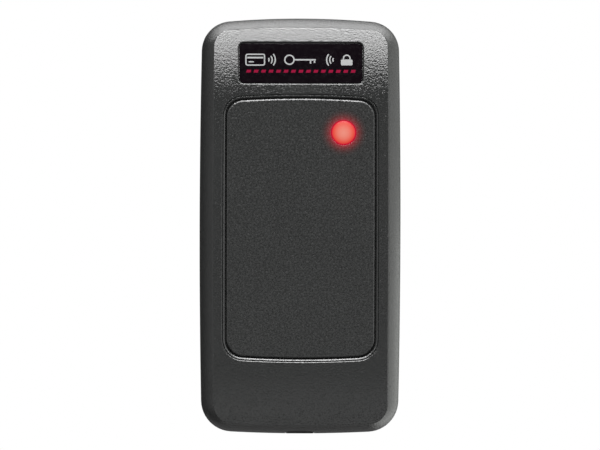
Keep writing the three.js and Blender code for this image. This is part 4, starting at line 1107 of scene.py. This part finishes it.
b = Build()
for dx in (-0.75, 0.75):
    tube(b, [(10.6 + dx, -5.1, -10.6), (10.6 + dx, -5.1, -11.1), (10.6 + dx, -5.2, -11.45), (10.6 + dx, -5.5, -11.65), (10.6 + dx, -6.0, -11.7), (10.6 + dx, -7.1, -11.7)], 0.24)
piece("capacitor_leads", b.mesh("capacitor_leads"), M["tin"], "base", angle=60)
sw = block(-12.6, -6.4, -3.05, -7.04, -16.1, -9.9, 0.35)
sw = boolean(sw, lathe([(0, -2.0), (2.15, -2.0), (2.15, -3.05), (1.95, -3.25), (1.95, -6.5), (0, -6.5)], -9.5, -13, 40).mesh("bore"), "DIFFERENCE")
for z in (-15.2, -10.8):
    sw = boolean(sw, block(-13.0, -12.3, -4.4, -5.6, z - 0.5, z + 0.5, 0.0), "DIFFERENCE")
piece("tamper_housing", soften(sw, 0.10, angle=50), M["chip"], "base", ["tamper_switch_body"], angle=32)
piece("tamper_button", lathe([(0, -0.15), (0.5, -0.17), (0.82, -0.24), (1.03, -0.36), (1.16, -0.54), (1.2, -0.75), (1.2, -4.27), (1.28, -4.35), (1.74, -4.35), (1.8, -4.41), (1.8, -4.79), (1.74, -4.85), (0, -4.85)], -9.5, -13, 48).mesh("tamper_button"),
      M["acetal"], "plunger", ["tamper_plunger"], angle=45)

# ------------------------------------------------------------------ finishes of the carried-over solids
FINISH = {"tamper_spring": "spring"}
for node, key in FINISH.items():
    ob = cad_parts[node]
    if not ob.material_slots:
        ob.data.materials.append(M[key])
    for s in ob.material_slots:
        s.material = M[key]

# ------------------------------------------------------------------ stage, light, camera
def plane(name, size, loc):
    me = bpy.data.meshes.new(name)
    s = size / 2
    me.from_pydata([(-s, -s, 0), (s, -s, 0), (s, s, 0), (-s, s, 0)], [], [(0, 1, 2, 3)])
    o = bpy.data.objects.new(name, me)
    o.location = loc
    COLL.objects.link(o)
    return o


floor = plane("floor", 4.3, (0, 0, -1.78))
M["floor"] = material("pale_floor", (0.78, 0.78, 0.77), 0.6, grain=(4.0, 0.05, 0.2), tone=0.02)
floor.data.materials.append(M["floor"])

world = bpy.data.worlds.new("studio")
SCENE.world = world
world.use_nodes = True
wn = world.node_tree
wn.nodes.clear()
wo = wn.nodes.new("ShaderNodeOutputWorld")
mix = wn.nodes.new("ShaderNodeMixShader")
dim, white = wn.nodes.new("ShaderNodeBackground"), wn.nodes.new("ShaderNodeBackground")
lp = wn.nodes.new("ShaderNodeLightPath")
dim.inputs[0].default_value, dim.inputs[1].default_value = (1, 1, 1, 1), 0.036
white.inputs[0].default_value, white.inputs[1].default_value = (1, 1, 1, 1), 1.0
wn.links.new(lp.outputs["Is Camera Ray"], mix.inputs[0])
wn.links.new(dim.outputs[0], mix.inputs[1])
wn.links.new(white.outputs[0], mix.inputs[2])
wn.links.new(mix.outputs[0], wo.inputs[0])


def softbox(name, az0, az1, el0, el1, radiance, dist=1.2, tint=(1, 1, 1)):
    """Level rectangular light aimed at the object, filling azimuth az0 to az1 (from -Y towards +X) and elevation el0 to el1, in degrees."""
    az, el = math.radians((az0 + az1) / 2), math.radians((el0 + el1) / 2)
    w = 2 * dist * math.tan(math.radians((az1 - az0) / 2)) * math.cos(el)
    h = 2 * dist * math.tan(math.radians((el1 - el0) / 2))
    l = bpy.data.lights.new(name, "AREA")
    l.shape = "RECTANGLE"
    l.size, l.size_y = w, h
    l.energy = radiance * math.pi * w * h
    l.color = tint
    z = Vector((math.sin(az) * math.cos(el), -math.cos(az) * math.cos(el), math.sin(el)))
    x = Vector((0, 0, 1)).cross(z).normalized()
    o = bpy.data.objects.new(name, l)
    o.location = z * dist
    o.rotation_mode = "QUATERNION"
    o.rotation_quaternion = Matrix((x, z.cross(x), z)).transposed().to_quaternion()
    COLL.objects.link(o)
    o.visible_camera = False
    return o


softbox("key_low", -35, 35, 31, 38, 17.5)
softbox("key_mid", -35, 35, 38, 50, 7.2)
softbox("key_high", -40, 40, 50, 64, 20.0)
softbox("key_top", -50, 50, 64, 80, 26.0)
softbox("top_back_high", 140, 220, 40, 55, 3.85)
softbox("top_back_low", 140, 220, 20, 40, 1.16)
softbox("right_front", 36, 105, -20, 40, 1.9)
softbox("right_side", 125, 145, -35, 31, 0.68, tint=(0.98, 1.0, 0.97))
softbox("right_back", 145, 170, -35, 31, 0.30, tint=(0.98, 1.0, 0.97))
softbox("right_low", 140, 168, -45, 0, 0.30, 0.35, tint=(0.98, 1.0, 0.97))
softbox("left_front", -105, -36, -20, 40, 0.9)
softbox("left_side", -145, -105, -35, 40, 0.22)
softbox("front_fill", -25, 25, -30, 5, 0.19)
softbox("front_low", -25, 25, -31, -7, 0.80)
softbox("back_low", 150, 195, -34, -8, 0.09)

cam = bpy.data.cameras.new("camera")
cam.type = "PERSP"
cam.sensor_width = 36.0
DIST = 2.2
PX = 0.1995 * MM  # size of one picture element at the object
cam.lens = 36.0 * DIST / (600 * PX)
cam.clip_start, cam.clip_end = 0.05, 20.0
co = bpy.data.objects.new("camera", cam)
AZ, ROLL = math.radians(-0.53), -0.0022  # seen from a shade to the left of square, and a hair out of level
AIM = Vector((-0.35 * PX, -0.007, 1.03 * PX))
co.location = AIM + Vector((math.sin(AZ), -math.cos(AZ), 0)) * DIST
co.rotation_euler = (math.pi / 2, ROLL, AZ)
COLL.objects.link(co)
SCENE.camera = co
SCENE.view_settings.view_transform = "Standard"
SCENE.view_settings.look = "None"

bpy.context.view_layer.update()
